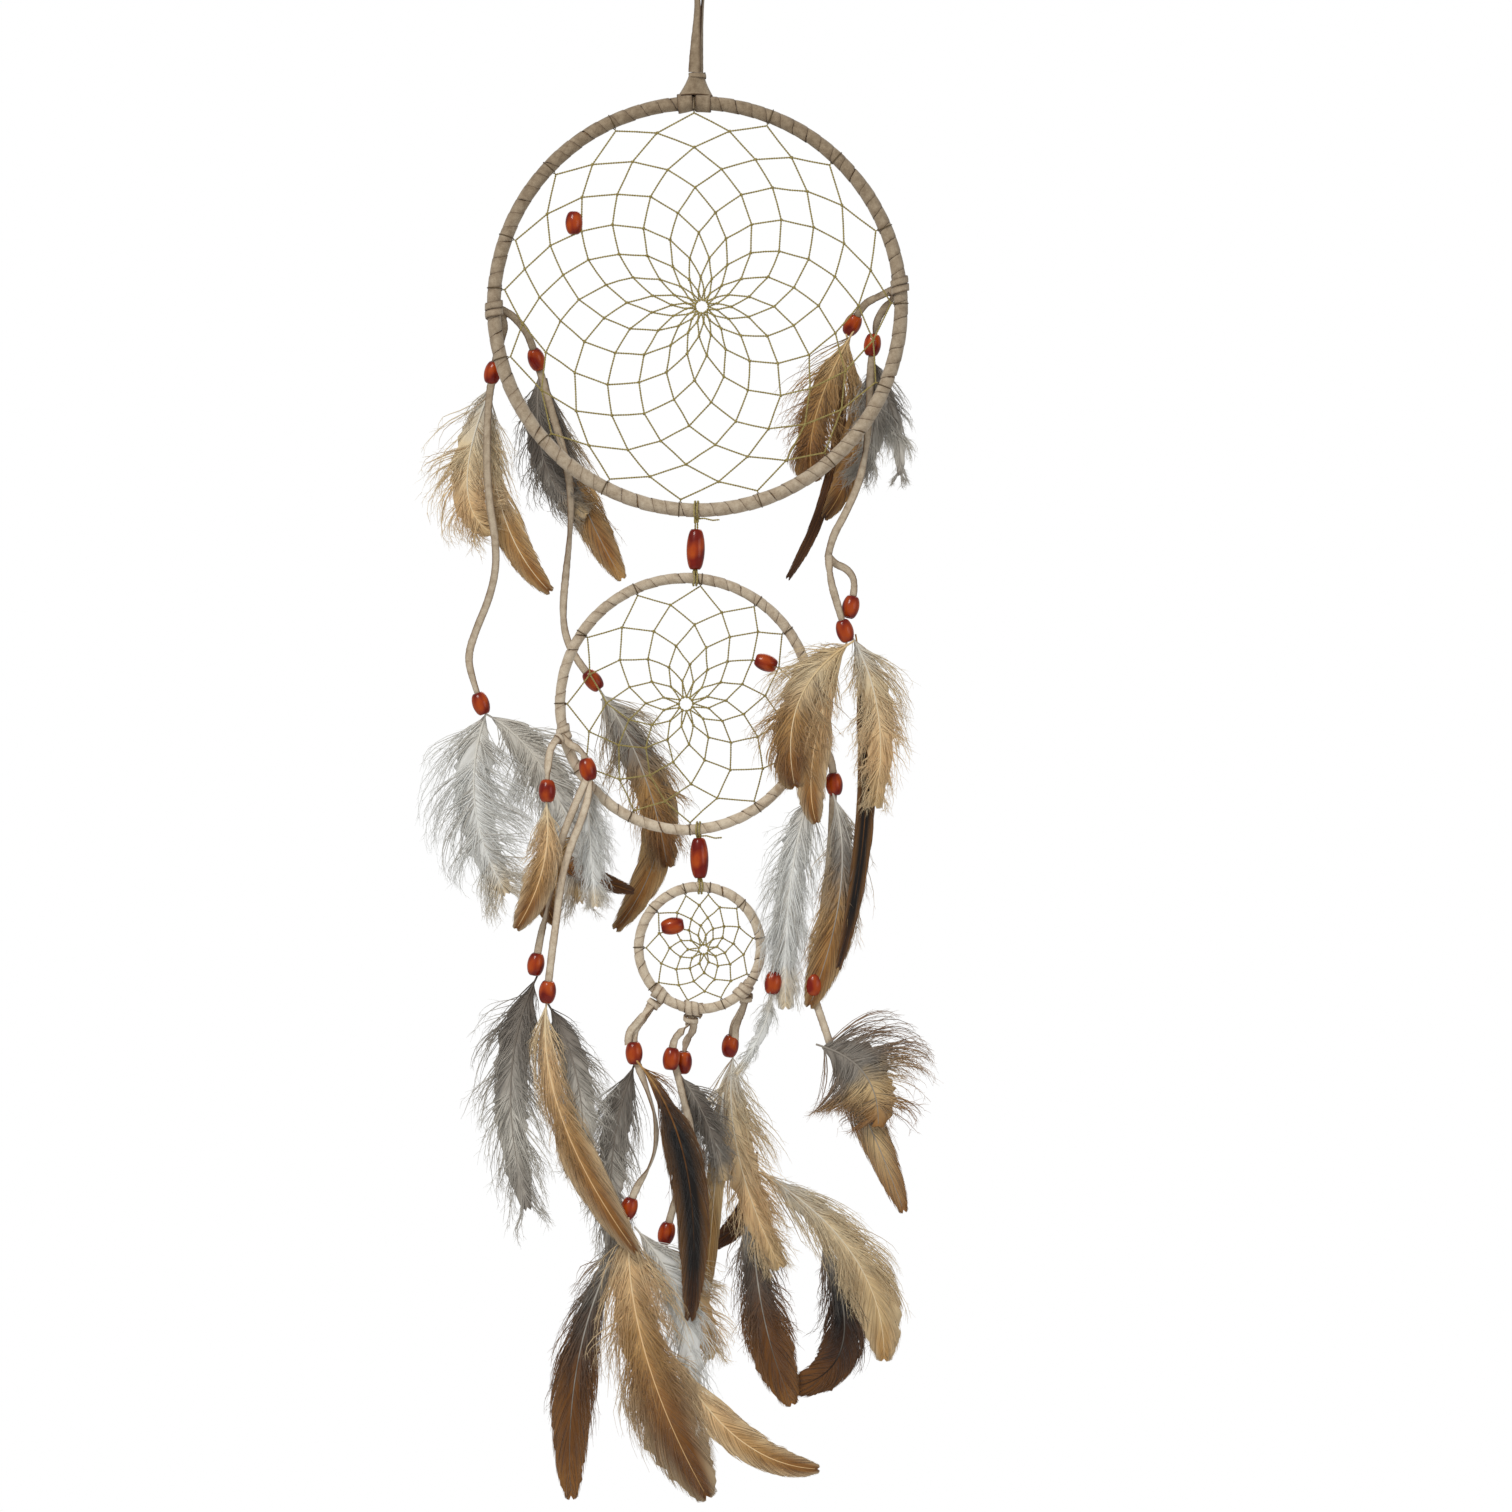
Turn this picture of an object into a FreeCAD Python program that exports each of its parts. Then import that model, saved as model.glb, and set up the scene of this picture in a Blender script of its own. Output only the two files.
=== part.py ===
import FreeCAD, Part
import math
import os

import Sketcher

# A wall-hung dream catcher: three wrapped hoops in a chain, each with a net, and feathered laces.
# X is to the right, Y is away from the viewer, Z is up, and the origin is the top of the hanging loop.
SIZES = {
    "large_hoop_width": 220,
    "large_tube": 7.3,
    "large_drop": 200,
    "medium_hoop_width": 137,
    "medium_tube": 5.5,
    "medium_drop": 407.6,
    "medium_offset": -6,
    "small_hoop_width": 69,
    "small_tube": 5.2,
    "small_drop": 535,
    "small_offset": 1.2,
    "wrap_thickness": 0.9,
    "core_gap": 0.05,
    "lashing_thickness": 1.2,
    "net_thread": 1.1,
    "link_thread": 1.4,
    "link_gap": 0.3,
    "lace_width": 4,
    "bead_length": 11.8,
    "bead_width": 8.8,
    "bead_end": 5.2,
    "bead_bore": 4.3,
    "bead_hold": 2,
    "net_bead_bore": 2.2,
    "link_bead_length": 21,
    "link_bead_width": 9.6,
    "link_bead_end": 5.8,
    "link_bead_bore": 2.6,
    "knot_top": 7.4,
    "knot_bottom": 16,
    "knot_height": 9,
    "knot_drop": 87.3,
    "feather_thickness": 1.6,
}

# Where each net's thread is hitched to its hoop, in degrees from +X, and how far in each round lies.
NETS = {
    "large": {
        "hitches": [-165, -139, -117, -95, -72, -49, -23, 1, 23, 47, 69, 91, 115, 137, 160, 175],
        "rounds": [0.985, 0.9, 0.81, 0.71, 0.61, 0.49, 0.376, 0.26, 0.165, 0.09],
        "centre": (2.4, 0),
    },
    "medium": {
        "hitches": [-180, -148, -116, -88, -55, -25, 6, 36, 55, 83, 114, 146],
        "rounds": [0.985, 0.83, 0.67, 0.5, 0.34, 0.2, 0.1],
        "centre": (0, 0),
    },
    "small": {
        "hitches": [-180, -140, -103, -67, -29, 10, 47, 81, 105, 140],
        "rounds": [0.96, 0.77, 0.57, 0.4, 0.23, 0.13],
        "centre": (2.2, -1),
    },
}

# Suede lashings round each hoop's tube: the place in degrees from +X, and the length along the tube.
LASHINGS = {
    "large": [(90.7, 17.5), (181, 8), (6.1, 8)],
    "medium": [(193.9, 8), (-16.8, 8)],
    "small": [(229.1, 9), (263.3, 9), (315.6, 9)],
}

# A bead threaded on each net: x and z from the hoop's centre, and its lean from upright in degrees.
NET_BEADS = {"large": (-64.5, 43.7, 0), "medium": (41.8, 21.5, -70), "small": (-14.2, 11.4, 80)}

LOOP = [
    (-1.5, -2.2, -77.8), (-1.3, -2.4, -68), (-0.4, -2.3, -54), (0.4, -2.2, -40), (-2.2, -1.8, -25),
    (-6, -0.6, -13), (-5, 0, -2), (5, 0, -2), (6, 0.6, -13), (4.4, 1.8, -25), (2.6, 2.2, -40),
    (2.2, 2.3, -54), (1.6, 2.4, -68), (1.4, 2.2, -77.8),
]

# One row for each free-hanging piece. A lace is its route; one that ends in a bead runs down the bead's
# axis. A feather is (root, bend, tip) as x and z, its widest half width, and its y.
PENDANTS = {
    "left_outer_upper": {
        "laces": [[(-100.5, 4.8, -208), (-102.4, 7.5, -215), (-104.6, 9.3, -222), (-106.6, 10.2, -230)]],
        "beaded": [0],
        "feathers": [
            ((-108.4, -241), (-130, -302), (-104, -316), 17, 13),
            ((-110, -246), (-118, -315), (-78.5, -349), 8, 15.2),
        ],
    },
    "left_outer_lower": {
        "laces": [[
            (-109, 9, -242), (-110.4, 9, -262), (-110.6, 9, -284), (-109, 9, -304), (-106, 9, -321),
            (-105.6, 9, -337), (-109.5, 9, -353), (-116, 9.4, -368), (-120.6, 9.8, -382),
            (-118.6, 10.3, -393), (-115, 10.6, -403.6),
        ]],
        "beaded": [0],
        "feathers": [
            ((-111.5, -413.5), (-128, -462), (-102, -508), 23, 13),
            ((-109, -414), (-68, -446), (-60, -513), 21, 15.2),
            ((-74, -487), (-58, -499), (-33, -506), 5, 11.1),
        ],
    },
    "left_inner_upper": {
        "laces": [[(-99, 5.4, -202.5), (-93.5, 9.5, -207.5), (-88.6, 14, -214), (-86, 17, -222.6)]],
        "beaded": [0],
        "feathers": [
            ((-83.4, -235), (-88, -295), (-55, -306), 15, 21.8),
            ((-79, -240), (-66, -305), (-39.5, -342), 9, 23.9),
        ],
    },
    "left_inner_lower": {
        "laces": [[
            (-81.8, 18.3, -236), (-76.5, 18.5, -255), (-70.2, 18.8, -275), (-66.6, 19, -296),
            (-67.2, 19, -318), (-69.6, 19, -340), (-71.2, 19, -358), (-69.8, 19, -372), (-64, 19.2, -384),
            (-57.6, 19.4, -392),
        ]],
        "beaded": [0],
        "feathers": [((-50, -402.4), (-14, -445), (-20, -494), 18, 21.6), ((-48, -408), (2, -466), (-42, -527), 9, 23.7)],
    },
    "right_inner": {
        "laces": [[(99.5, 6, -192), (93.2, 10.4, -194.6), (86.8, 14.6, -197.6), (83, 18, -204.6)]],
        "beaded": [0],
        "feathers": [
            ((80, -214.6), (53, -262), (61, -291), 16, 17.2),
            ((79, -217), (88, -280), (64, -308), 8, 19.2),
            ((75, -228), (79, -292), (47, -342), 3, 21.2),
        ],
    },
    "right_outer_upper": {
        "laces": [
            [(102.6, 5.6, -195), (97, 7.2, -201), (93.3, 8.4, -208), (92.2, 9, -215.4)],
            [
                (90.9, 8.4, -227.6), (90.2, 8.4, -243), (89.6, 8.4, -260), (88.2, 7.6, -275),
                (84.6, 1.4, -292), (77, -7.6, -309), (69.6, -14.6, -322), (67.9, -18.4, -332),
            ],
        ],
        "beaded": [0],
        "feathers": [((91, -226.6), (101, -262), (88, -288), 14, 12.2), ((93, -229), (110, -262), (104, -288), 7, 14.2)],
    },
    "right_outer_lower": {
        "laces": [
            [(68.4, -22.2, -336.4), (69.6, -23, -345.6), (72.6, -22.4, -355.6), (75.6, -21.4, -366.2)],
            [(70.2, -16.4, -334.6), (78.4, -15.6, -337.6), (82.6, -15.8, -345), (80.6, -16.4, -353.6)],
        ],
        "beaded": [0, 1],
        "feathers": [
            ((77.6, -377.6), (40, -402), (51, -452), 20, -23.5),
            ((76, -380), (52, -440), (62, -470), 9, -21.5),
            ((81, -374), (100, -412), (93, -462), 15, -19.5),
            ((83, -376), (97, -462), (73, -546), 4.5, -17.5),
        ],
    },
    "middle_left_front": {
        "laces": [[(-75.6, -13.6, -428.8), (-77, -17.6, -435.6), (-77.5, -19.6, -442.4), (-77.6, -20, -449)]],
        "beaded": [0],
        "feathers": [((-78, -460), (-74, -494), (-94, -525), 9, -20.5)],
    },
    "middle_left_back": {
        "laces": [
            [(-67.4, -6.8, -428.6), (-62.4, -9.6, -430.4), (-58.8, -10.8, -434), (-57.8, -11, -438)],
            [
                (-58.6, -13, -449), (-64.6, -13.2, -463), (-71, -13.2, -479), (-75.2, -12.6, -498),
                (-77.8, -11.2, -515), (-81.6, -9.8, -528), (-83.4, -9.6, -539.4),
            ],
            [
                (-55.6, -13.2, -453), (-60, -17.4, -468), (-66.6, -17.6, -484), (-71, -17.2, -502),
                (-73, -16.4, -520), (-75.6, -15.2, -538), (-77.4, -13.2, -553.6),
            ],
        ],
        "beaded": [0, 1, 2],
        "feathers": [
            ((-57.2, -450), (-56, -480), (-53, -514), 12, -8),
            ((-61, -476), (-92, -496), (-73, -523), 8, -6.9),
            ((-84.6, -552), (-108, -602), (-88, -672), 20, -7.3),
            ((-78.6, -565.6), (-84, -622), (-31, -694), 11, -11.6),
            ((-76.4, -566), (-56, -602), (-60, -650), 16, -9.4),
        ],
    },
    "middle_right": {
        "laces": [
            [(56.4, -8.2, -430.6), (58, -10.4, -435), (59, -11, -439.4), (59.2, -11, -445)],
            [(61.4, -8.4, -427.4), (67.4, -10.6, -432), (70.2, -11, -438), (70.9, -11, -445.6)],
            [
                (58.6, -8.2, -456.6), (55.4, -8.2, -476), (51.4, -8.2, -496), (46.4, -8.6, -516),
                (42, -9.8, -534), (40, -10.6, -549),
            ],
            [
                (70.6, -8.2, -457.6), (70, -8.2, -478), (67.8, -8.2, -500), (64.8, -8.6, -520),
                (62, -9.8, -537), (61, -10.6, -550),
            ],
            [(61.2, -11.2, -561), (64.4, -11.2, -570.6), (68, -11.2, -581), (71.6, -11.2, -592.6)],
        ],
        "beaded": [0, 1, 2, 3],
        "feathers": [
            ((58.4, -456), (44, -500), (46, -567), 17, -11.6),
            ((71.4, -457), (84, -500), (64, -563), 14, -13.7),
            ((38.6, -560.6), (37, -577), (20, -601), 6, -9),
            ((68, -590), (86, -612), (108, -673), 9, -8.2),
            ((66, -586), (96, -596), (94, -628), 27, -14.4),
        ],
    },
    "bottom_left": {
        "laces": [
            [(-26.4, -1.5, -570.4), (-30.6, -1.5, -574.6), (-33.4, -1.5, -579.6), (-33.2, -1.5, -586)],
            [
                (-30.8, -1.5, -597), (-26, -1.5, -609.6), (-21.6, -1.5, -624), (-21.4, -1.5, -639),
                (-25.6, -1.5, -651), (-32, -1.5, -659.8), (-34.6, -1.5, -667.4),
            ],
        ],
        "beaded": [0, 1],
        "feathers": [
            ((-33.6, -597.6), (-50, -640), (-44, -700), 16, 1.6),
            ((-29, -597), (6, -640), (-4, -730), 10, -4.6),
            ((-37, -683), (-72, -742), (-66, -824), 13, 2),
            ((-36, -679), (-38, -746), (6, -823), 25, -4.4),
            ((-30, -684), (4, -722), (-6, -782), 16, -0.2),
            ((-8, -756), (22, -806), (64, -807), 9, -2.4),
        ],
    },
    "bottom_middle": {
        "laces": [
            [(-5.4, 4.2, -576.4), (-9.4, 5, -579.8), (-12.6, 5, -583.6), (-13.3, 4.8, -589.4)],
            [(-1.6, 6.2, -577), (-4.2, 9.6, -581.4), (-6.8, 11.8, -586), (-7.2, 12.4, -591.8)],
            [
                (-10.4, 6, -601.6), (-6.8, 6, -617), (-2.8, 6, -632), (-1.8, 6, -645), (-6, 6, -655.6),
                (-12, 6.6, -667), (-15.4, 7.6, -681),
            ],
        ],
        "beaded": [0, 1, 2],
        "feathers": [
            ((-8, -603.6), (8, -626), (14, -658), 12, 8.6),
            ((-9, -602), (-2, -630), (4, -662), 5, 10.2),
            ((-16, -692.6), (2, -712), (7, -752), 15, 9.4),
        ],
    },
    "bottom_right": {
        "laces": [[(23.8, 7.6, -566.8), (21.4, 12.6, -571.6), (18.6, 16, -576.6), (17.6, 17, -583.4)]],
        "beaded": [0],
        "feathers": [
            ((18.4, -594.2), (12, -642), (44, -705), 19, 17.7),
            ((13, -616), (7, -680), (4, -722), 4.5, 13.2),
            ((29, -668), (28, -728), (50, -777), 15, 19.4),
            ((36, -656), (100, -696), (98, -754), 16, 21.1),
            ((66, -690), (96, -762), (46, -768), 12, 22.8),
            ((31, -648), (30, -686), (2, -694), 6, 24.5),
        ],
    },
}

VECTOR = FreeCAD.Vector
UPRIGHT = FreeCAD.Rotation(VECTOR(1, 0, 0), 90)
HOOPS = ("large", "medium", "small")
OUTLINE_STEPS = 8
QUILL_HALF = 0.6

doc = FreeCAD.newDocument("dream_catcher")
sheet = doc.addObject("Spreadsheet::Sheet", "Sizes")
for row, (alias, value) in enumerate(SIZES.items(), start=1):
    sheet.set(f"A{row}", str(value))
    sheet.setAlias(f"A{row}", alias)
doc.recompute()

subparts = []


def size(alias):
    """A driving dimension, read from the sheet."""
    return float(sheet.get(alias))


def made(kind, name, **expressions):
    """A document object of that kind, with its properties bound to the sheet."""
    thing = doc.addObject(kind, name)
    for prop, expression in expressions.items():
        thing.setExpression(prop, expression)
    return thing


def keep(thing, label, placement=None):
    """Counts the object as a sub-part with its own label and placement."""
    thing.Label = label
    if placement is not None:
        thing.Placement = placement
    subparts.append(thing)
    return thing


def gather(label, things):
    """One sub-part of one or several separate solids."""
    if len(things) == 1:
        return keep(things[0], label)
    group = doc.addObject("Part::Compound", label)
    group.Links = things
    return keep(group, label)


def hoop_place(hoop):
    """The middle of a hoop."""
    offset = 0 if hoop == "large" else size(f"{hoop}_offset")
    return VECTOR(offset, 0, -size(f"{hoop}_drop"))


def line_radius(hoop):
    """The radius of the line through the middle of a hoop's tube."""
    return (size(f"{hoop}_hoop_width") - size(f"{hoop}_tube")) / 2


def on_tube(hoop, degrees):
    """The middle of a hoop's tube at an angle, and the tube's direction there."""
    a = math.radians(degrees)
    out = VECTOR(math.cos(a), 0, math.sin(a))
    along = VECTOR(-math.sin(a), 0, math.cos(a))
    return hoop_place(hoop) + out * line_radius(hoop), along


def ring_and_wrap(hoop):
    """The bare hoop inside, and the suede strip wound round it as a hollow ring."""
    line = f"(Sizes.{hoop}_hoop_width - Sizes.{hoop}_tube) / 2"
    inside = f"Sizes.{hoop}_tube / 2 - Sizes.wrap_thickness"
    place = FreeCAD.Placement(hoop_place(hoop), UPRIGHT)
    ring = made("Part::Torus", f"{hoop}_ring", Radius1=line, Radius2=f"{inside} - Sizes.core_gap")
    keep(ring, f"{hoop}_hoop_ring", place)
    skin = made("Part::Torus", f"{hoop}_skin", Radius1=line, Radius2=f"Sizes.{hoop}_tube / 2")
    hollow = made("Part::Torus", f"{hoop}_hollow", Radius1=line, Radius2=inside)
    wrap = doc.addObject("Part::Cut", f"{hoop}_wrap")
    wrap.Base = skin
    wrap.Tool = hollow
    keep(wrap, f"{hoop}_suede_wrap", place)


def inset(points, distance):
    """A polygon moved in by a distance on every side, or None where nothing of it is left."""
    count = len(points)
    area = sum(a.x * b.y - b.x * a.y for a, b in zip(points, points[1:] + points[:1])) / 2
    inward = 1 if area > 0 else -1
    moved = []
    for i in range(count):
        before, here, after = points[i - 1], points[i], points[(i + 1) % count]
        first, second = (here - before).normalize(), (after - here).normalize()
        turn = first.x * second.y - first.y * second.x
        shift = distance * inward
        side = VECTOR(-first.y, first.x, 0) * shift
        if abs(turn) < 1e-6:
            moved.append(here + side)
            continue
        next_side = VECTOR(-second.y, second.x, 0) * shift
        step = next_side - side
        moved.append(here + side + first * ((step.x * second.y - step.y * second.x) / turn))
    left = sum(a.x * b.y - b.x * a.y for a, b in zip(moved, moved[1:] + moved[:1])) / 2
    return moved if left * inward > distance * distance else None


def closed(points):
    return Part.makePolygon(points + points[:1])


def net(hoop):
    """The thread net: each round is tied midway between the ties of the round outside it."""
    layout = NETS[hoop]
    thread = size("net_thread") / 2
    tube = size(f"{hoop}_tube") / 2
    line = line_radius(hoop)
    reach = line - tube
    middle = VECTOR(*layout["centre"], 0)
    count = len(layout["hitches"])
    angles = [math.radians(a) for a in layout["hitches"]]
    rows = []
    for ratio in layout["rounds"]:
        rows.append([
            middle * (1 - ratio) + VECTOR(math.cos(a), math.sin(a), 0) * reach * ratio for a in angles
        ])
        nexts = angles[1:] + [angles[0] + 2 * math.pi]
        angles = [(a + b) / 2 for a, b in zip(angles, nexts)]
    hitches = [math.radians(a) for a in layout["hitches"]]
    # the stubs end inside the hitches' own thread
    stubs = [VECTOR(math.cos(a), math.sin(a), 0) * (reach - 0.1) for a in hitches]
    outline = []
    holes = []
    for i in range(count):
        j = (i + 1) % count
        rim = inset([stubs[i], rows[0][i], rows[1][i], rows[0][j], stubs[j]], thread)
        outline += rim
        for k in range(len(rows) - 2):
            cell = inset([rows[k][j], rows[k + 1][i], rows[k + 2][i], rows[k + 1][j]], thread)
            if cell:
                holes.append(closed(cell))
    eye = []
    for i in range(count):
        eye += [rows[-2][i], rows[-1][i]]
    holes.append(closed(inset(eye, thread)))
    lattice = Part.makeFace([closed(outline)] + holes, "Part::FaceMakerBullseye")
    flat = lattice.extrude(VECTOR(0, 0, 2 * thread))
    flat.translate(VECTOR(0, 0, -thread))
    loops = []
    for a in hitches:
        place = VECTOR(math.cos(a), math.sin(a), 0) * line
        along = VECTOR(-math.sin(a), math.cos(a), 0)
        loops.append(Part.makeTorus(tube + thread + 0.02, thread, place, along))
    web = doc.addObject("Part::Feature", f"{hoop}_net")
    web.Shape = flat.multiFuse(loops).Solids[0]
    keep(web, f"{hoop}_web", FreeCAD.Placement(hoop_place(hoop), UPRIGHT))


def turned_bead(name, kind="bead", bore="Sizes.bead_bore"):
    """A barrel bead turned from wood and bored through, standing on Z about its middle."""
    body = doc.addObject("PartDesign::Body", name)
    sketch = body.newObject("Sketcher::SketchObject", f"{name}_profile")
    plane = next(f for f in body.Origin.OriginFeatures if f.Role == "XZ_Plane")
    sketch.AttachmentSupport = (plane, "")
    sketch.MapMode = "FlatFace"
    half = size(f"{kind}_length") / 2
    belly = size(f"{kind}_width") / 2
    end = size(f"{kind}_end") / 2
    hole = size("bead_bore") / 2
    corners = [VECTOR(hole, -half, 0), VECTOR(end, -half, 0), VECTOR(end, half, 0), VECTOR(hole, half, 0)]
    sketch.addGeometry([
        Part.LineSegment(corners[0], corners[1]),
        Part.Arc(corners[1], VECTOR(belly, 0, 0), corners[2]),
        Part.LineSegment(corners[2], corners[3]),
        Part.LineSegment(corners[3], corners[0]),
    ])
    ends = sketch.Geometry[1]
    low = 1 if ends.StartPoint.y < ends.EndPoint.y else 2
    rules = [
        Sketcher.Constraint("Coincident", 0, 2, 1, low),
        Sketcher.Constraint("Coincident", 1, 3 - low, 2, 1),
        Sketcher.Constraint("Coincident", 2, 2, 3, 1),
        Sketcher.Constraint("Coincident", 3, 2, 0, 1),
        Sketcher.Constraint("Horizontal", 0),
        Sketcher.Constraint("Horizontal", 2),
        Sketcher.Constraint("Vertical", 3),
        Sketcher.Constraint("PointOnObject", 1, 3, -1),
    ]
    sketch.addConstraint(rules)
    sizes = [
        (Sketcher.Constraint("DistanceY", -1, 1, 2, 1, half), f"Sizes.{kind}_length / 2"),
        (Sketcher.Constraint("DistanceX", -1, 1, 2, 1, end), f"Sizes.{kind}_end / 2"),
        (Sketcher.Constraint("DistanceX", -1, 1, 3, 1, hole), f"{bore} / 2"),
        (
            Sketcher.Constraint("Radius", 1, ends.Radius),
            f"(Sizes.{kind}_length ^ 2 + (Sizes.{kind}_width - Sizes.{kind}_end) ^ 2)"
            f" / (4 * (Sizes.{kind}_width - Sizes.{kind}_end))",
        ),
    ]
    for constraint, expression in sizes:
        number = sketch.addConstraint(constraint)
        sketch.setExpression(f"Constraints[{number}]", expression)
    turned = body.newObject("PartDesign::Revolution", f"{name}_turned")
    turned.Profile = sketch
    turned.ReferenceAxis = (sketch, ["V_Axis"])
    turned.Angle = 360
    sketch.Visibility = False
    body.Tip = turned
    return body


def lashings(hoop):
    """The suede turns that tie laces to a hoop, each a sleeve round the tube."""
    sleeves = []
    for number, (degrees, length) in enumerate(LASHINGS[hoop], start=1):
        name = f"{hoop}_lashing_{number}"
        outer = made(
            "Part::Cylinder", f"{name}_outer", Radius=f"Sizes.{hoop}_tube / 2 + Sizes.lashing_thickness"
        )
        inner = made("Part::Cylinder", f"{name}_inner", Radius=f"Sizes.{hoop}_tube / 2")
        for cylinder in (outer, inner):
            cylinder.Height = length
        sleeve = doc.addObject("Part::Cut", name)
        sleeve.Base = outer
        sleeve.Tool = inner
        middle, along = on_tube(hoop, degrees)
        turned = FreeCAD.Rotation(VECTOR(0, 0, 1), along)
        sleeve.Placement = FreeCAD.Placement(middle - along * (length / 2), turned)
        sleeves.append(sleeve)
    gather(f"{hoop}_lashings", sleeves)


def link(name, upper, lower, top_x, bottom_x):
    """The thread and long bead between two hoops: a loop round each tube, and the double thread."""
    thread = size("link_thread") / 2
    ends = []
    for hoop, x, side in ((upper, top_x, -1), (lower, bottom_x, 1)):
        across = x - hoop_place(hoop).x
        drop = math.sqrt(line_radius(hoop) ** 2 - across ** 2)
        ends.append((hoop, VECTOR(x, 0, hoop_place(hoop).z + side * drop)))
    pieces = []
    for number, (hoop, middle) in enumerate(ends, start=1):
        loop = made(
            "Part::Torus",
            f"{name}_loop_{number}",
            Radius1=f"Sizes.{hoop}_tube / 2 + Sizes.link_gap + Sizes.link_thread / 2",
            Radius2="Sizes.link_thread / 2",
        )
        loop.Placement = FreeCAD.Placement(middle, FreeCAD.Rotation(VECTOR(0, 1, 0), 90))
        pieces.append(loop)
    way = (ends[1][1] - ends[0][1]).normalize()
    starts = [
        place + way * (size(f"{hoop}_tube") / 2 + size("link_gap") + thread) * side
        for (hoop, place), side in zip(ends, (1, -1))
    ]
    span = (starts[1] - starts[0]).Length
    run = made("Part::Cylinder", f"{name}_run", Radius="Sizes.link_thread / 2")
    run.Height = span
    run.Placement = FreeCAD.Placement(starts[0], FreeCAD.Rotation(VECTOR(0, 0, 1), way))
    tail = made("Part::Cylinder", f"{name}_tail", Radius="Sizes.net_thread / 2")
    tail.Height = 13
    tail.Placement = FreeCAD.Placement(starts[0], FreeCAD.Rotation(VECTOR(0, 0, 1), VECTOR(1, -0.5, -0.12)))
    fused = doc.addObject("Part::MultiFuse", f"{name}_fused")
    fused.Shapes = pieces + [run, tail]
    keep(fused, f"{name}_thread")
    bead = turned_bead(f"{name}_bead_body", "link_bead", "Sizes.link_bead_bore")
    middle = starts[0] + way * (span - size("link_bead_length") / 2 - 0.9)
    keep(bead, f"{name}_bead", FreeCAD.Placement(middle, FreeCAD.Rotation(VECTOR(0, 0, 1), way)))


def rounded_route(points):
    """Straight runs joined by tangent arcs, each as large as its two runs allow, and the arcs' radii."""
    points = [VECTOR(*p) for p in points]
    edges = []
    radii = []
    start = points[0]
    for before, here, after in zip(points, points[1:], points[2:]):
        come, leave = (here - before).normalize(), (after - here).normalize()
        half_turn = come.getAngle(leave) / 2
        cut = 0.45 * min((here - before).Length, (after - here).Length)
        radius = cut / math.tan(half_turn)
        centre = here + (leave - come).normalize() * (radius / math.cos(half_turn))
        middle = centre + (here - centre).normalize() * radius
        edges.append(Part.LineSegment(start, here - come * cut).toShape())
        edges.append(Part.Arc(here - come * cut, middle, here + leave * cut).toShape())
        start = here + leave * cut
        radii.append(radius)
    edges.append(Part.LineSegment(start, points[-1]).toShape())
    return Part.Wire(edges), radii


def lace(name, points):
    """A suede lace as a plain tube of the lace's width along its route."""
    route = doc.addObject("Part::Feature", f"{name}_route")
    route.Shape, radii = rounded_route(points)
    section = made("Part::Circle", f"{name}_section", Radius="Sizes.lace_width / 2")
    first, second = VECTOR(*points[0]), VECTOR(*points[1])
    section.Placement = FreeCAD.Placement(first, FreeCAD.Rotation(VECTOR(0, 0, 1), second - first))
    tube = doc.addObject("Part::Sweep", name)
    tube.Sections = [section]
    tube.Spine = (route, [f"Edge{i + 1}" for i in range(len(route.Shape.Edges))])
    tube.Solid = True
    tube.Frenet = False
    print(f"{name}: length {route.Shape.Length:.1f}, radii " + ", ".join(f"{r:.1f}" for r in radii))
    laces.append((tube, route))
    return tube


def lace_bead(name, points):
    """The bead that a lace runs into, in line with the lace's last run."""
    last, before = VECTOR(*points[-1]), VECTOR(*points[-2])
    way = (last - before).normalize()
    bead = turned_bead(name)
    middle = last + way * (size("bead_length") / 2 - size("bead_hold"))
    bead.Placement = FreeCAD.Placement(middle, FreeCAD.Rotation(VECTOR(0, 0, 1), way))
    return bead


def feather(name, root, bend, tip, half_width, depth):
    """A feather as a thin leaf: its quill is a curve from root to tip, and its tip is blunt."""
    right, left = [], []
    for step in range(OUTLINE_STEPS + 1):
        t = step / OUTLINE_STEPS
        x, z = (
            (1 - t) ** 2 * a + 2 * t * (1 - t) * b + t ** 2 * c for a, b, c in zip(root, bend, tip)
        )
        dx, dz = (2 * (1 - t) * (b - a) + 2 * t * (c - b) for a, b, c in zip(root, bend, tip))
        length = math.hypot(dx, dz)
        wide = QUILL_HALF + half_width * (1 - math.exp(-t / 0.13)) * math.sqrt(1 - t ** 3)
        right.append(VECTOR(x - dz / length * wide, depth, z + dx / length * wide))
        left.append(VECTOR(x + dz / length * wide, depth, z - dx / length * wide))
    outline = doc.addObject("Part::Polygon", f"{name}_outline")
    outline.Nodes = right + left[::-1]
    outline.Close = True
    leaf = made("Part::Extrusion", name, LengthFwd="Sizes.feather_thickness")
    leaf.Base = outline
    leaf.DirMode = "Custom"
    leaf.Dir = VECTOR(0, 1, 0)
    leaf.Symmetric = True
    leaf.Solid = True
    return leaf


laces = []

keep(lace("loop", LOOP), "hanging_loop")

cone = made(
    "Part::Cone",
    "knot_cone",
    Radius1="Sizes.knot_bottom / 2",
    Radius2="Sizes.knot_top / 2",
    Height="Sizes.knot_height",
)
keep(cone, "top_knot", FreeCAD.Placement(VECTOR(0, 0, -size("knot_drop")), FreeCAD.Rotation()))

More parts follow.
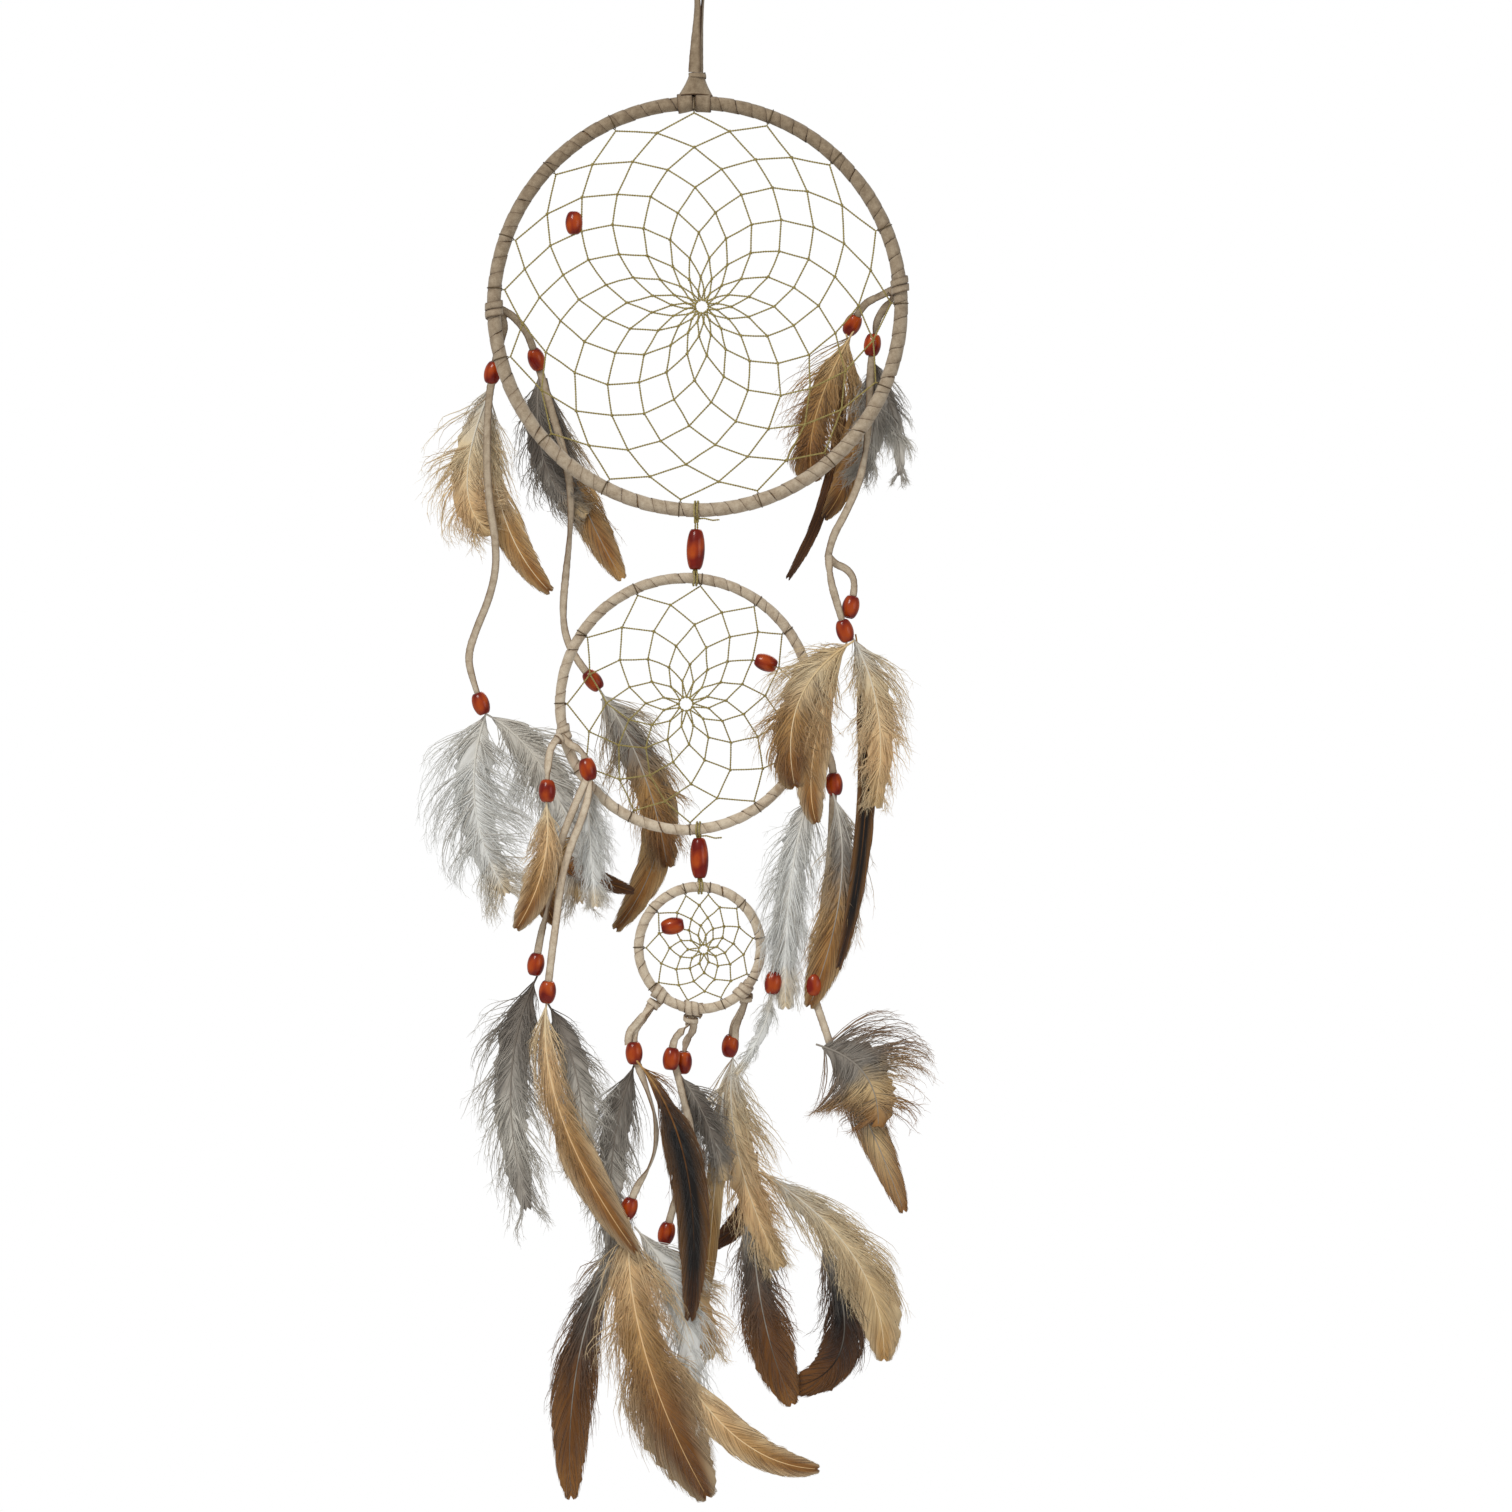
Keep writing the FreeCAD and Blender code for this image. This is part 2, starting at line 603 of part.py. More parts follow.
for hoop in HOOPS:
    ring_and_wrap(hoop)
    net(hoop)
    x, z, lean = NET_BEADS[hoop]
    bead = turned_bead(f"{hoop}_net_bead_body", bore="Sizes.net_bead_bore")
    spot = FreeCAD.Placement(hoop_place(hoop) + VECTOR(x, 0, z), FreeCAD.Rotation(VECTOR(0, 1, 0), lean))
    keep(bead, f"{hoop}_web_bead", spot)
    lashings(hoop)

link("upper_link", "large", "medium", -0.4, -1.3)
link("lower_link", "medium", "small", 0.6, 1.4)

for pendant, design in PENDANTS.items():
    strands = [lace(f"{pendant}_strand_{i + 1}", route) for i, route in enumerate(design["laces"])]
    gather(f"{pendant}_lace", strands)
    beads = [lace_bead(f"{pendant}_turned_{i + 1}", design["laces"][i]) for i in design["beaded"]]
    gather(f"{pendant}_bead" if len(beads) == 1 else f"{pendant}_beads", beads)
    leaves = [feather(f"{pendant}_leaf_{i + 1}", *leaf) for i, leaf in enumerate(design["feathers"])]
    gather(f"{pendant}_feathers", leaves)

doc.recompute()

for thing in doc.Objects:
    if {"Invalid", "Error"} & set(thing.State):
        raise RuntimeError(f"{thing.Name} did not compute: {thing.State}")
for part in subparts:
    if part.Shape.isNull() or not part.Shape.isValid() or not part.Shape.Solids:
        raise RuntimeError(f"{part.Label} has no valid solid")
for tube, route in laces:
    wanted = math.pi * (size("lace_width") / 2) ** 2 * route.Shape.Length
    if abs(tube.Shape.Volume / wanted - 1) > 0.01:
        raise RuntimeError(f"{tube.Label} has volume {tube.Shape.Volume:.0f}, not {wanted:.0f}")

os.makedirs("parts", exist_ok=True)
for part in subparts:
    part.Shape.exportStep(f"parts/{part.Label}.step")
    print(f"{part.Label}: {len(part.Shape.Solids)} solids, {part.Shape.Volume:.0f} mm3")
print(f"{len(subparts)} sub-parts")
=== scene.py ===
import math

import bpy
import numpy as np
from mathutils import Matrix, Vector


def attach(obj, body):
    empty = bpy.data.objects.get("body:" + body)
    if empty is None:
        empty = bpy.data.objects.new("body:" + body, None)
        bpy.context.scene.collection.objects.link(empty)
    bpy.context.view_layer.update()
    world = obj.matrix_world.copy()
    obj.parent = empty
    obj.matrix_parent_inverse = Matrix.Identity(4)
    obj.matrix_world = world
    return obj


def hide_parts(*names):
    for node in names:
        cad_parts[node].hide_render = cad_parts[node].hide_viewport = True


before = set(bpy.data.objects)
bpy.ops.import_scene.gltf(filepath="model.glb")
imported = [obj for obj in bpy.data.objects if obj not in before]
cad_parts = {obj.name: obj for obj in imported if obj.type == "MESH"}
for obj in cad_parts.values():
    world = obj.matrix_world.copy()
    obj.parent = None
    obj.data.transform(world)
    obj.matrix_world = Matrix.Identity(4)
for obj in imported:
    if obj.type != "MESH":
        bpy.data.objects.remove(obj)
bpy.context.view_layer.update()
MM = 0.001
scene = bpy.context.scene

# ---------------------------------------------------------------- camera and light
VIEW_WIDTH = 0.790
VIEW_CENTRE = (0.0306, -0.4348)
LENS = 120.0
SENSOR = 36.0
camera_data = bpy.data.cameras.new("camera")
camera_data.lens = LENS
camera_data.sensor_width = SENSOR
camera = bpy.data.objects.new("camera", camera_data)
camera.location = (VIEW_CENTRE[0], -VIEW_WIDTH * LENS / SENSOR, VIEW_CENTRE[1])
camera.rotation_euler = (math.radians(90), 0, 0)
camera_data.clip_start = 0.05
camera_data.clip_end = 50
scene.collection.objects.link(camera)
scene.camera = camera
scene.view_settings.view_transform = "Standard"


def lamp(name, place, target, size, power, colour):
    data = bpy.data.lights.new(name, "AREA")
    data.shape = "SQUARE"
    data.size = size
    data.energy = power
    data.color = colour
    lamp_object = bpy.data.objects.new(name, data)
    lamp_object.location = place
    aim = Vector(target) - Vector(place)
    lamp_object.rotation_euler = aim.to_track_quat("-Z", "Y").to_euler()
    scene.collection.objects.link(lamp_object)


lamp("key", (-1.0, -1.7, 1.3), (0, 0, -0.4), 0.8, 30, (1, 0.98, 0.95))
lamp("fill", (1.7, -1.4, -0.2), (0, 0, -0.45), 1.2, 5, (0.95, 0.97, 1))
lamp("back", (0.4, 1.8, 0.9), (0, 0, -0.4), 1.2, 10, (1, 1, 1))
ROOM_LIGHT = 0.42
ROOM_SEEN = 1.0
world = bpy.data.worlds.new("studio")
world.use_nodes = True
backdrop = world.node_tree.nodes["Background"]
backdrop.inputs[0].default_value = (1, 1, 1, 1)
seen = world.node_tree.nodes.new("ShaderNodeLightPath")
level = world.node_tree.nodes.new("ShaderNodeMapRange")
level.inputs["To Min"].default_value = ROOM_LIGHT
level.inputs["To Max"].default_value = ROOM_SEEN
world.node_tree.links.new(seen.outputs["Is Camera Ray"], level.inputs[0])
world.node_tree.links.new(level.outputs[0], backdrop.inputs[1])
scene.world = world


# ---------------------------------------------------------------- node helpers
def rgb(*values):
    """A colour given as 0 to 255 display values."""
    linear = [v / 255 for v in values]
    linear = [v / 12.92 if v <= 0.04045 else ((v + 0.055) / 1.055) ** 2.4 for v in linear]
    return (*linear, 1)


def tones(*stops):
    """A ramp's stops, each given as its place and its display colour."""
    return [(place, rgb(*colour)) for place, *colour in stops]


class Shader:
    """A material built up node by node."""

    def __init__(self, name, roughness, sheen=0.0, coat=0.0, specular=0.5):
        self.material = bpy.data.materials.new(name)
        self.material.use_nodes = True
        self.tree = self.material.node_tree
        self.surface = self.tree.nodes["Principled BSDF"]
        self.surface.inputs["Roughness"].default_value = roughness
        self.surface.inputs["Sheen Weight"].default_value = sheen
        self.surface.inputs["Sheen Roughness"].default_value = 0.5
        self.surface.inputs["Coat Weight"].default_value = coat
        self.surface.inputs["Coat Roughness"].default_value = 0.06
        self.surface.inputs["Specular IOR Level"].default_value = specular

    def node(self, kind, **values):
        made = self.tree.nodes.new(kind)
        for key, value in values.items():
            setattr(made, key, value)
        return made

    def join(self, source, target):
        self.tree.links.new(source, target)

    def put(self, socket, value):
        if isinstance(value, bpy.types.NodeSocket):
            self.join(value, socket)
        else:
            socket.default_value = value

    def local(self):
        return self.node("ShaderNodeTexCoord").outputs["Object"]

    def attribute(self, name):
        return self.node("ShaderNodeAttribute", attribute_name=name).outputs["Fac"]

    def height(self):
        split = self.node("ShaderNodeSeparateXYZ")
        self.join(self.local(), split.inputs[0])
        return split.outputs["Z"]

    def noise(self, scale, detail=3.0, rough=0.6, stretch=None):
        made = self.node("ShaderNodeTexNoise")
        made.inputs["Scale"].default_value = scale
        made.inputs["Detail"].default_value = detail
        made.inputs["Roughness"].default_value = rough
        source = self.local()
        if stretch:
            mapping = self.node("ShaderNodeMapping")
            mapping.inputs["Scale"].default_value = stretch
            self.join(source, mapping.inputs[0])
            source = mapping.outputs[0]
        self.join(source, made.inputs["Vector"])
        return made.outputs["Fac"]

    def ramp(self, factor, stops):
        made = self.node("ShaderNodeValToRGB")
        band = made.color_ramp
        while len(band.elements) < len(stops):
            band.elements.new(0.5)
        for element, (place, colour) in zip(band.elements, stops):
            element.position = place
            element.color = colour
        self.put(made.inputs[0], factor)
        return made.outputs["Color"]

    def span(self, value, low, high, to_low=0.0, to_high=1.0):
        made = self.node("ShaderNodeMapRange")
        self.put(made.inputs[0], value)
        for index, number in enumerate((low, high, to_low, to_high), start=1):
            made.inputs[index].default_value = number
        return made.outputs[0]

    def math(self, operation, first, second):
        made = self.node("ShaderNodeMath", operation=operation)
        self.put(made.inputs[0], first)
        self.put(made.inputs[1], second)
        return made.outputs[0]

    def mix(self, factor, first, second, blend="MIX"):
        made = self.node("ShaderNodeMix", data_type="RGBA", blend_type=blend)
        self.put(made.inputs[0], factor)
        self.put(made.inputs[6], first)
        self.put(made.inputs[7], second)
        return made.outputs[2]

    def colour(self, value):
        self.put(self.surface.inputs["Base Color"], value)

    def bump(self, height, strength, distance):
        made = self.node("ShaderNodeBump")
        made.inputs["Strength"].default_value = strength
        made.inputs["Distance"].default_value = distance
        self.join(height, made.inputs["Height"])
        self.join(made.outputs[0], self.surface.inputs["Normal"])


def suede(name):
    """Split-hide suede: a soft nap, mottled, with painted shade that makes it greyer and darker towards the
    top of the hanging, and with dark cut edges.
    """
    s = Shader(name, 0.92, sheen=0.3, specular=0.2)
    mottle = s.noise(260, 5, 0.7)
    nap = s.noise(2600, 3, 0.7)
    # Painted shade: the upper tones are the suede darkened and greyed for the weaker light at the top of the
    # hanging, and height blends them into the lower tones.
    upper = s.ramp(mottle, tones((0.3, 130, 112, 90), (0.52, 160, 142, 118), (0.75, 182, 165, 140)))
    lower = s.ramp(mottle, tones((0.3, 198, 178, 152), (0.52, 230, 214, 190), (0.75, 244, 232, 210)))
    painted_shade_by_height = s.mix(s.span(s.height(), -0.12, -0.46), upper, lower)
    nap_tone = s.ramp(nap, [(0.25, (0.74, 0.72, 0.7, 1)), (0.7, (1.1, 1.09, 1.07, 1))])
    lit = s.mix(1.0, painted_shade_by_height, nap_tone, "MULTIPLY")
    seam = s.mix(1.0, lit, rgb(150, 128, 108), "MULTIPLY")
    s.colour(s.mix(s.attribute("edge"), lit, seam))
    s.bump(s.math("ADD", nap, s.math("MULTIPLY", mottle, 0.7)), 0.4, 0.0004)
    return s.material


def waxed_thread():
    """Waxed net thread, with painted shade where it is pulled down into the wrap."""
    s = Shader("waxed_thread", 0.45, sheen=0.1, specular=0.4)
    base = s.ramp(s.noise(900, 4), tones((0.3, 140, 122, 62), (0.55, 178, 162, 96), (0.8, 206, 194, 138)))
    fibre = s.noise(5200, 2)
    fibre_tone = s.ramp(fibre, [(0.3, (0.8, 0.78, 0.72, 1)), (0.7, (1.1, 1.1, 1.06, 1))])
    lit = s.mix(1.0, base, fibre_tone, "MULTIPLY")
    # Painted shade: where edge is 1, on the hitches sunk into the wrap, the thread is darkened to a shaded
    # brown.
    s.colour(s.mix(s.attribute("edge"), lit, rgb(96, 76, 46)))
    s.bump(fibre, 0.3, 0.0002)
    return s.material


def bead_wood():
    """Varnished turned wood: deep red brown, with orange patches scattered by noise as a painted glow of
    light through the lacquer.
    """
    s = Shader("bead_wood", 0.3, coat=0.35, specular=0.2)
    rings = s.noise(300, 3, 0.5, stretch=(1, 1, 0.25))
    red = s.ramp(rings, tones((0.3, 108, 14, 2), (0.7, 140, 28, 4)))
    # Painted glow: orange tones that stand in for light shining through the red lacquer, laid on in noise
    # patches.
    painted_glow = s.ramp(rings, tones((0.3, 176, 58, 8), (0.7, 206, 92, 20)))
    painted_glow_patches = s.noise(130, 1, 0.4)
    s.colour(s.mix(s.span(painted_glow_patches, 0.42, 0.64, 0.0, 0.85), red, painted_glow))
    s.bump(rings, 0.06, 0.0002)
    return s.material


def cane():
    """The bare ring inside the wrap."""
    s = Shader("cane_ring", 0.7)
    grain = s.noise(300, 4, 0.6, stretch=(1, 6, 1))
    s.colour(s.ramp(grain, tones((0.3, 120, 88, 52), (0.7, 190, 152, 104))))
    s.bump(grain, 0.3, 0.0003)
    return s.material


# Feather colours from the quill's root to its tip, then the rim's colour and the odd strands' colour.
WHITE = (238, 239, 236)
PALE = (216, 212, 202)
CREAM = (234, 214, 176)
SAND = (216, 188, 140)
PEACH = (238, 202, 150)
GREY = (152, 144, 134)
SLATE = (104, 95, 86)
GOLD = (194, 152, 94)
GINGER = (156, 108, 54)
BROWN = (116, 74, 30)
UMBER = (72, 42, 18)
BLACK = (20, 14, 10)
PALETTES = {
    "cream_down": ([(0, PALE), (0.3, CREAM), (0.7, PEACH), (1, SAND)], CREAM, GOLD),
    "cream_vane": ([(0, PALE), (0.3, CREAM), (0.6, GOLD), (0.85, GINGER), (1, BROWN)], SAND, GINGER),
    "white_down": ([(0, PALE), (0.3, WHITE), (0.8, WHITE), (1, CREAM)], WHITE, PALE),
    "smoke_down": ([(0, PALE), (0.4, PALE), (0.8, WHITE), (1, SAND)], WHITE, GREY),
    "umber_tip": ([(0, GINGER), (0.5, BROWN), (1, UMBER)], BROWN, UMBER),
    "slate_down": ([(0, GREY), (0.4, SLATE), (0.8, GREY), (1, SAND)], GREY, PALE),
    "slate_gold": ([(0, SLATE), (0.3, GREY), (0.5, GOLD), (0.8, GINGER), (1, GOLD)], SAND, BROWN),
    "grey_brown": ([(0, PALE), (0.35, GREY), (0.6, GOLD), (0.85, GINGER), (1, BROWN)], SAND, BROWN),
    "tan_brown": ([(0, SAND), (0.3, CREAM), (0.6, GOLD), (0.85, GINGER), (1, BROWN)], SAND, BROWN),
    "gold_vane": ([(0, CREAM), (0.25, PEACH), (0.55, GOLD), (0.8, GINGER), (1, BROWN)], CREAM, GINGER),
    "ginger_vane": ([(0, SAND), (0.3, GOLD), (0.7, GINGER), (1, UMBER)], GOLD, UMBER),
    "umber_quill": ([(0, BROWN), (0.6, UMBER), (1, UMBER)], BROWN, UMBER),
    "slate_white": ([(0, SLATE), (0.3, GREY), (0.7, PALE), (1, GREY)], PALE, SLATE),
    "black_vane": ([(0, GOLD), (0.12, BROWN), (0.3, BLACK), (0.8, BLACK), (1, UMBER)], GINGER, BLACK),
    "sand_vane": ([(0, PALE), (0.3, SAND), (0.6, GOLD), (1, GOLD)], SAND, GINGER),
    "slate_brown": ([(0, PALE), (0.3, SLATE), (0.6, BROWN), (0.85, BROWN), (1, GINGER)], GINGER, UMBER),
    "grey_ginger": ([(0, GREY), (0.4, GREY), (0.6, SAND), (1, GINGER)], GINGER, SLATE),
    "dark_curl": ([(0, GREY), (0.25, BLACK), (0.55, UMBER), (0.8, BROWN), (1, BROWN)], BROWN, BLACK),
    "cream_gold": ([(0, PALE), (0.3, CREAM), (0.75, SAND), (1, GOLD)], CREAM, GOLD),
    "gold_brown": (
        [(0, CREAM), (0.2, PEACH), (0.45, GOLD), (0.68, GINGER), (0.84, BROWN), (1, BROWN)], CREAM, GINGER,
    ),
}


def plumage(palette):
    """Barbs and down, coloured by a strand's place along and across the feather and by its own shade."""
    stops, rim, odd = PALETTES[palette]
    s = Shader(f"feather_{palette}", 0.62, sheen=0.2, specular=0.25)
    blur = s.math("MULTIPLY", s.math("SUBTRACT", s.noise(90, 3), 0.5), 0.3)
    drift = s.math("ADD", s.attribute("along"), blur)
    base = s.ramp(drift, [(place, rgb(*colour)) for place, colour in stops])
    base = s.mix(s.span(s.attribute("edge"), 0.35, 1.0, 0.0, 0.6), base, rgb(*rim))
    base = s.mix(s.span(s.attribute("shade"), 0.2, 0.1, 0.0, 0.55), base, rgb(*odd))
    shades = [(0, (0.8, 0.78, 0.75, 1)), (0.5, (1, 0.99, 0.98, 1)), (1, (1.18, 1.18, 1.17, 1))]
    shade = s.ramp(s.attribute("shade"), shades)
    s.colour(s.mix(1.0, base, shade, "MULTIPLY"))
    return s.material


# ---------------------------------------------------------------- mesh helpers
UV_INSET = 0.06


class Soup:
    """Many closed strands and grids in one mesh, with one UV cell for each strand or stretch of one."""

    def __init__(self):
        self.points = []
        self.faces = []
        self.count = 0
        self.cells = 0
        self.values = {"along": [], "shade": [], "edge": []}

    def _take(self, points, faces, origin, values):
        """Adds points. Gives their first number and the volume that their faces hold, seen from origin."""
        a, b, c, d = ((points - origin)[faces[:, k]] for k in range(4))
        volume = np.einsum("ij,ij->i", a, np.cross(b, c) + np.cross(c, d)).sum()
        self.points.append(points)
        for key, parts in self.values.items():
            parts.append(np.broadcast_to(values.get(key, 0.0), (len(points),)).astype(np.float32))
        base = self.count
        self.count += len(points)
        return base, volume

    def _quads(self, quads, u, v, cell, base, volume):
        """Adds four-sided faces, turned outwards, each with its spans of u and v inside its cell."""
        turn = -1 if volume < 0 else 1
        corner_u = np.stack([u[0], u[0], u[1], u[1]], 1)[:, ::turn]
        corner_v = np.stack([v[0], v[1], v[1], v[0]], 1)[:, ::turn]
        self.faces.append((quads[:, ::turn] + base, corner_u, corner_v, cell + self.cells))

    def grid(self, net, closed, rows_in_cell=None, **values):
        """A tube of points (rows, columns), whose last row joins its first, or else with capped ends."""
        rows, columns = net.shape[:2]
        r = np.arange(rows if closed else rows - 1)
        rr, cc = [x.ravel() for x in np.meshgrid(r, np.arange(columns), indexing="ij")]
        r2, c2 = (rr + 1) % rows, (cc + 1) % columns
        quads = np.stack([rr * columns + cc, rr * columns + c2, r2 * columns + c2, r2 * columns + cc], 1)
        base, volume = self._take(net.reshape(-1, 3), quads, net[0].mean(0), values)
        chunk = rows_in_cell or rows
        cell = rr // chunk
        u, v = (rr - cell * chunk) / chunk, cc / columns
        self._quads(quads, (u, u + 1 / chunk), (v, v + 1 / columns), cell, base, volume)
        self.cells += int(cell.max()) + 1
        if not closed:
            turn = np.arange(columns)[None] * 2 * math.pi / columns
            u, v = 0.5 + 0.5 * np.cos(turn), 0.5 + 0.5 * np.sin(turn)
            for ring, onward in ((0, volume > 0), (rows - 1, volume < 0)):
                cap = (np.arange(columns) + ring * columns + base)[None]
                self.faces.append((cap if onward else cap[:, ::-1], u, v, np.array([self.cells])))
            self.cells += 1

    def strands(self, path, wide, deep, width, depth, sides=3, **values):
        """Tapered strands. The arrays go by strand and point, and path, wide and deep by axis as well."""
        s, n = path.shape[:2]
        turn = np.arange(sides) * 2 * math.pi / sides + math.pi / 2
        ring = (
            path[:, :, None]
            + wide[:, :, None] * (width[:, :, None] * np.cos(turn))[..., None]
            + deep[:, :, None] * (depth[:, :, None] * np.sin(turn))[..., None]
        )
        numbers = np.meshgrid(np.arange(s), np.arange(n - 1), np.arange(sides), indexing="ij")
        si, ni, ki = [x.ravel() for x in numbers]
        k2 = (ki + 1) % sides
        here = (si * n + ni) * sides
        there = here + sides
        quads = np.stack([here + ki, here + k2, there + k2, there + ki], 1)
        spread = {
            key: np.repeat(np.broadcast_to(value, (s, n)).ravel(), sides)
            for key, value in values.items()
        }
        origin = np.repeat(path[:, 0], n * sides, axis=0)
        base, volume = self._take(ring.reshape(-1, 3), quads, origin, spread)
        u, v = (ni / (n - 1), (ni + 1) / (n - 1)), (ki / sides, (ki + 1) / sides)
        self._quads(quads, u, v, si, base, volume)
        starts = np.arange(s)[:, None] * n * sides + np.arange(sides)[None] + base
        across = np.broadcast_to(np.arange(sides) / sides, (s, sides))
        for end, back in ((0, volume > 0), (1, volume < 0)):
            turn = -1 if back else 1
            cap = (starts + end * (n - 1) * sides)[:, ::turn]
            at_end = np.full((s, sides), float(end))
            self.faces.append((cap, at_end, across[:, ::turn], np.arange(s) + self.cells))
        self.cells += s

    def finish(self, name, material, body, slot, *nodes):
        """The mesh as a piece that rides on a body and takes the place of CAD nodes."""
        mesh = bpy.data.meshes.new(name)
        points = np.concatenate(self.points)
        mesh.vertices.add(len(points))
        mesh.vertices.foreach_set("co", points.astype(np.float32).ravel())
        indices = np.concatenate([f.ravel() for f, _, _, _ in self.faces])
        sizes = np.concatenate([np.full(len(f), f.shape[1]) for f, _, _, _ in self.faces])
        mesh.loops.add(len(indices))
        mesh.loops.foreach_set("vertex_index", indices.astype(np.int32))
        mesh.polygons.add(len(sizes))
        firsts = np.concatenate([[0], np.cumsum(sizes)[:-1]])
        mesh.polygons.foreach_set("loop_start", firsts.astype(np.int32))
        mesh.polygons.foreach_set("use_smooth", np.ones(len(sizes), bool))
        mesh.update(calc_edges=True)
        side = math.ceil(math.sqrt(self.cells))
        places = []
        for f, u, v, cell in self.faces:
            across = (cell % side)[:, None] + UV_INSET + (1 - 2 * UV_INSET) * u
            up = (cell // side)[:, None] + UV_INSET + (1 - 2 * UV_INSET) * v
            places.append(np.stack([across / side, up / side], -1).reshape(-1, 2))
        layer = mesh.uv_layers.new(name="OFBake")
        layer.uv.foreach_set("vector", np.concatenate(places).astype(np.float32).ravel())
        for key, parts in self.values.items():
            attribute = mesh.attributes.new(key, "FLOAT", "POINT")
            attribute.data.foreach_set("value", np.concatenate(parts))
        mesh.materials.append(material)
        piece = bpy.data.objects.new(name, mesh)
        scene.collection.objects.link(piece)
        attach(piece, body)
        if nodes:
            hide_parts(*nodes)
        return piece


def unit(vectors):
    return vectors / np.maximum(np.linalg.norm(vectors, axis=-1, keepdims=True), 1e-12)


def tangents(path):
    return unit(np.gradient(path, axis=-2))


def side_frames(path, facing=(0, -1, 0)):
    """Frames along a path whose deep axis keeps to one facing."""
    along = tangents(path)
    facing = np.broadcast_to(np.array(facing, float), path.shape)
    deep = unit(facing - along * (facing * along).sum(-1, keepdims=True))
    return np.cross(along, deep), deep


def carried_frames(path, start):
    """Frames carried along a path with no twist of their own."""
    along = tangents(path)
    deep = np.zeros_like(path)
    current = np.array(start, float)
    for i, t in enumerate(along):
        current = current - t * current.dot(t)
        current /= max(np.linalg.norm(current), 1e-12)
        deep[i] = current
    return np.cross(along, deep), deep


def nurbs_line(points):
    """The points of a smooth cord's own line, from its route's control points in metres."""
    curve = bpy.data.curves.new("route", "CURVE")
    curve.dimensions = "3D"
    curve.resolution_u = 12
    spline = curve.splines.new("NURBS")
    spline.points.add(len(points) - 1)
    for control, point in zip(spline.points, points):
        control.co = (*[v * MM for v in point], 1)
    spline.order_u = 3
    spline.use_endpoint_u = True
    holder = bpy.data.objects.new("route", curve)
    mesh = bpy.data.meshes.new_from_object(holder)
    line = np.array([v.co for v in mesh.vertices], float).reshape(-1, 3)
    bpy.data.meshes.remove(mesh)
    bpy.data.objects.remove(holder)
    bpy.data.curves.remove(curve)
    return line


def length_of(line):
    return float(np.linalg.norm(np.diff(line, axis=0), axis=1).sum())


# The suede strip's section, half width by half thickness, with its cut edges.
STRIP = np.array([
    (2.0, -0.2), (2.0, 0.22), (1.75, 0.44), (0.9, 0.52), (0, 0.56), (-0.9, 0.52),
    (-1.75, 0.44), (-2.0, 0.22), (-2.0, -0.2), (-1.75, -0.42), (0, -0.48), (1.75, -0.42),
]) * MM
STRIP_EDGE = np.array([1, 1, 0.45, 0, 0, 0, 0.45, 1, 1, 0.45, 0, 0.45])


def ribbon(soup, line, twist, rng, facing=(0, -1, 0), scale=1.0, broad=1.0):
    """A flat suede lace along a line, turned about it by twist, with slightly uneven edges.

    broad widens its faces and leaves its thickness alone; it may change along the line.
    """
    wide, deep = side_frames(line, facing)
    wobble = np.interp(np.linspace(0, 1, len(line)), np.linspace(0, 1, 9), rng.normal(0, 0.16, 9))
    turn = np.asarray(twist) + wobble
    c, s = np.cos(turn)[:, None], np.sin(turn)[:, None]
    across, up = wide * c + deep * s, deep * c - wide * s
    ragged = (1 + rng.normal(0, 0.025, (len(line), 1))) * np.reshape(broad, (-1, 1))
    section = STRIP * scale
    net = (
        line[:, None]
        + across[:, None] * (section[:, 0] * ragged)[..., None]
        + up[:, None] * section[:, 1][None, :, None]
    )
    soup.grid(net, False, edge=np.tile(STRIP_EDGE, len(line)))


def twisted(soup, line, radius, rng, pitch=2.6, sides=5, steps=6, start=(0, -1, 0)):
    """A thread of two twisted plies along a line; radius and pitch are in millimetres."""
    count = max(4, int(length_of(line) / (pitch * MM) * steps))
    along = np.concatenate([[0], np.cumsum(np.linalg.norm(np.diff(line, axis=0), axis=1))])
    at = np.linspace(0, along[-1], count)
    path = np.stack([np.interp(at, along, line[:, k]) for k in range(3)], 1)
    wide, deep = carried_frames(path, start)
    radius = radius * MM
    ply = radius * 0.56
    turn = at / (pitch * MM) * 2 * math.pi + rng.uniform(0, 2 * math.pi) + np.array([[0], [math.pi]])
    plies = path + (wide * np.cos(turn)[..., None] + deep * np.sin(turn)[..., None]) * (radius - ply)
    thick = np.full(turn.shape, ply)
    wides, deeps = (np.broadcast_to(axis, plies.shape) for axis in (wide, deep))
    soup.strands(plies, wides, deeps, thick, thick, sides, shade=rng.uniform(0, 1))


# ---------------------------------------------------------------- the design, in millimetres
# Hoops: the middle (x, z), the wrapped tube's radius, the radius of its centre line, the turns of suede, and
# the radius of the net's thread.
HOOPS = {
    "large": {"centre": (0, -200), "tube": 3.65, "line": 106.35, "turns": 83, "thread": 0.52},
    "medium": {"centre": (-6, -407.6), "tube": 2.75, "line": 65.75, "turns": 52, "thread": 0.48},
    "small": {"centre": (1.2, -535), "tube": 2.6, "line": 31.9, "turns": 28, "thread": 0.44},
}
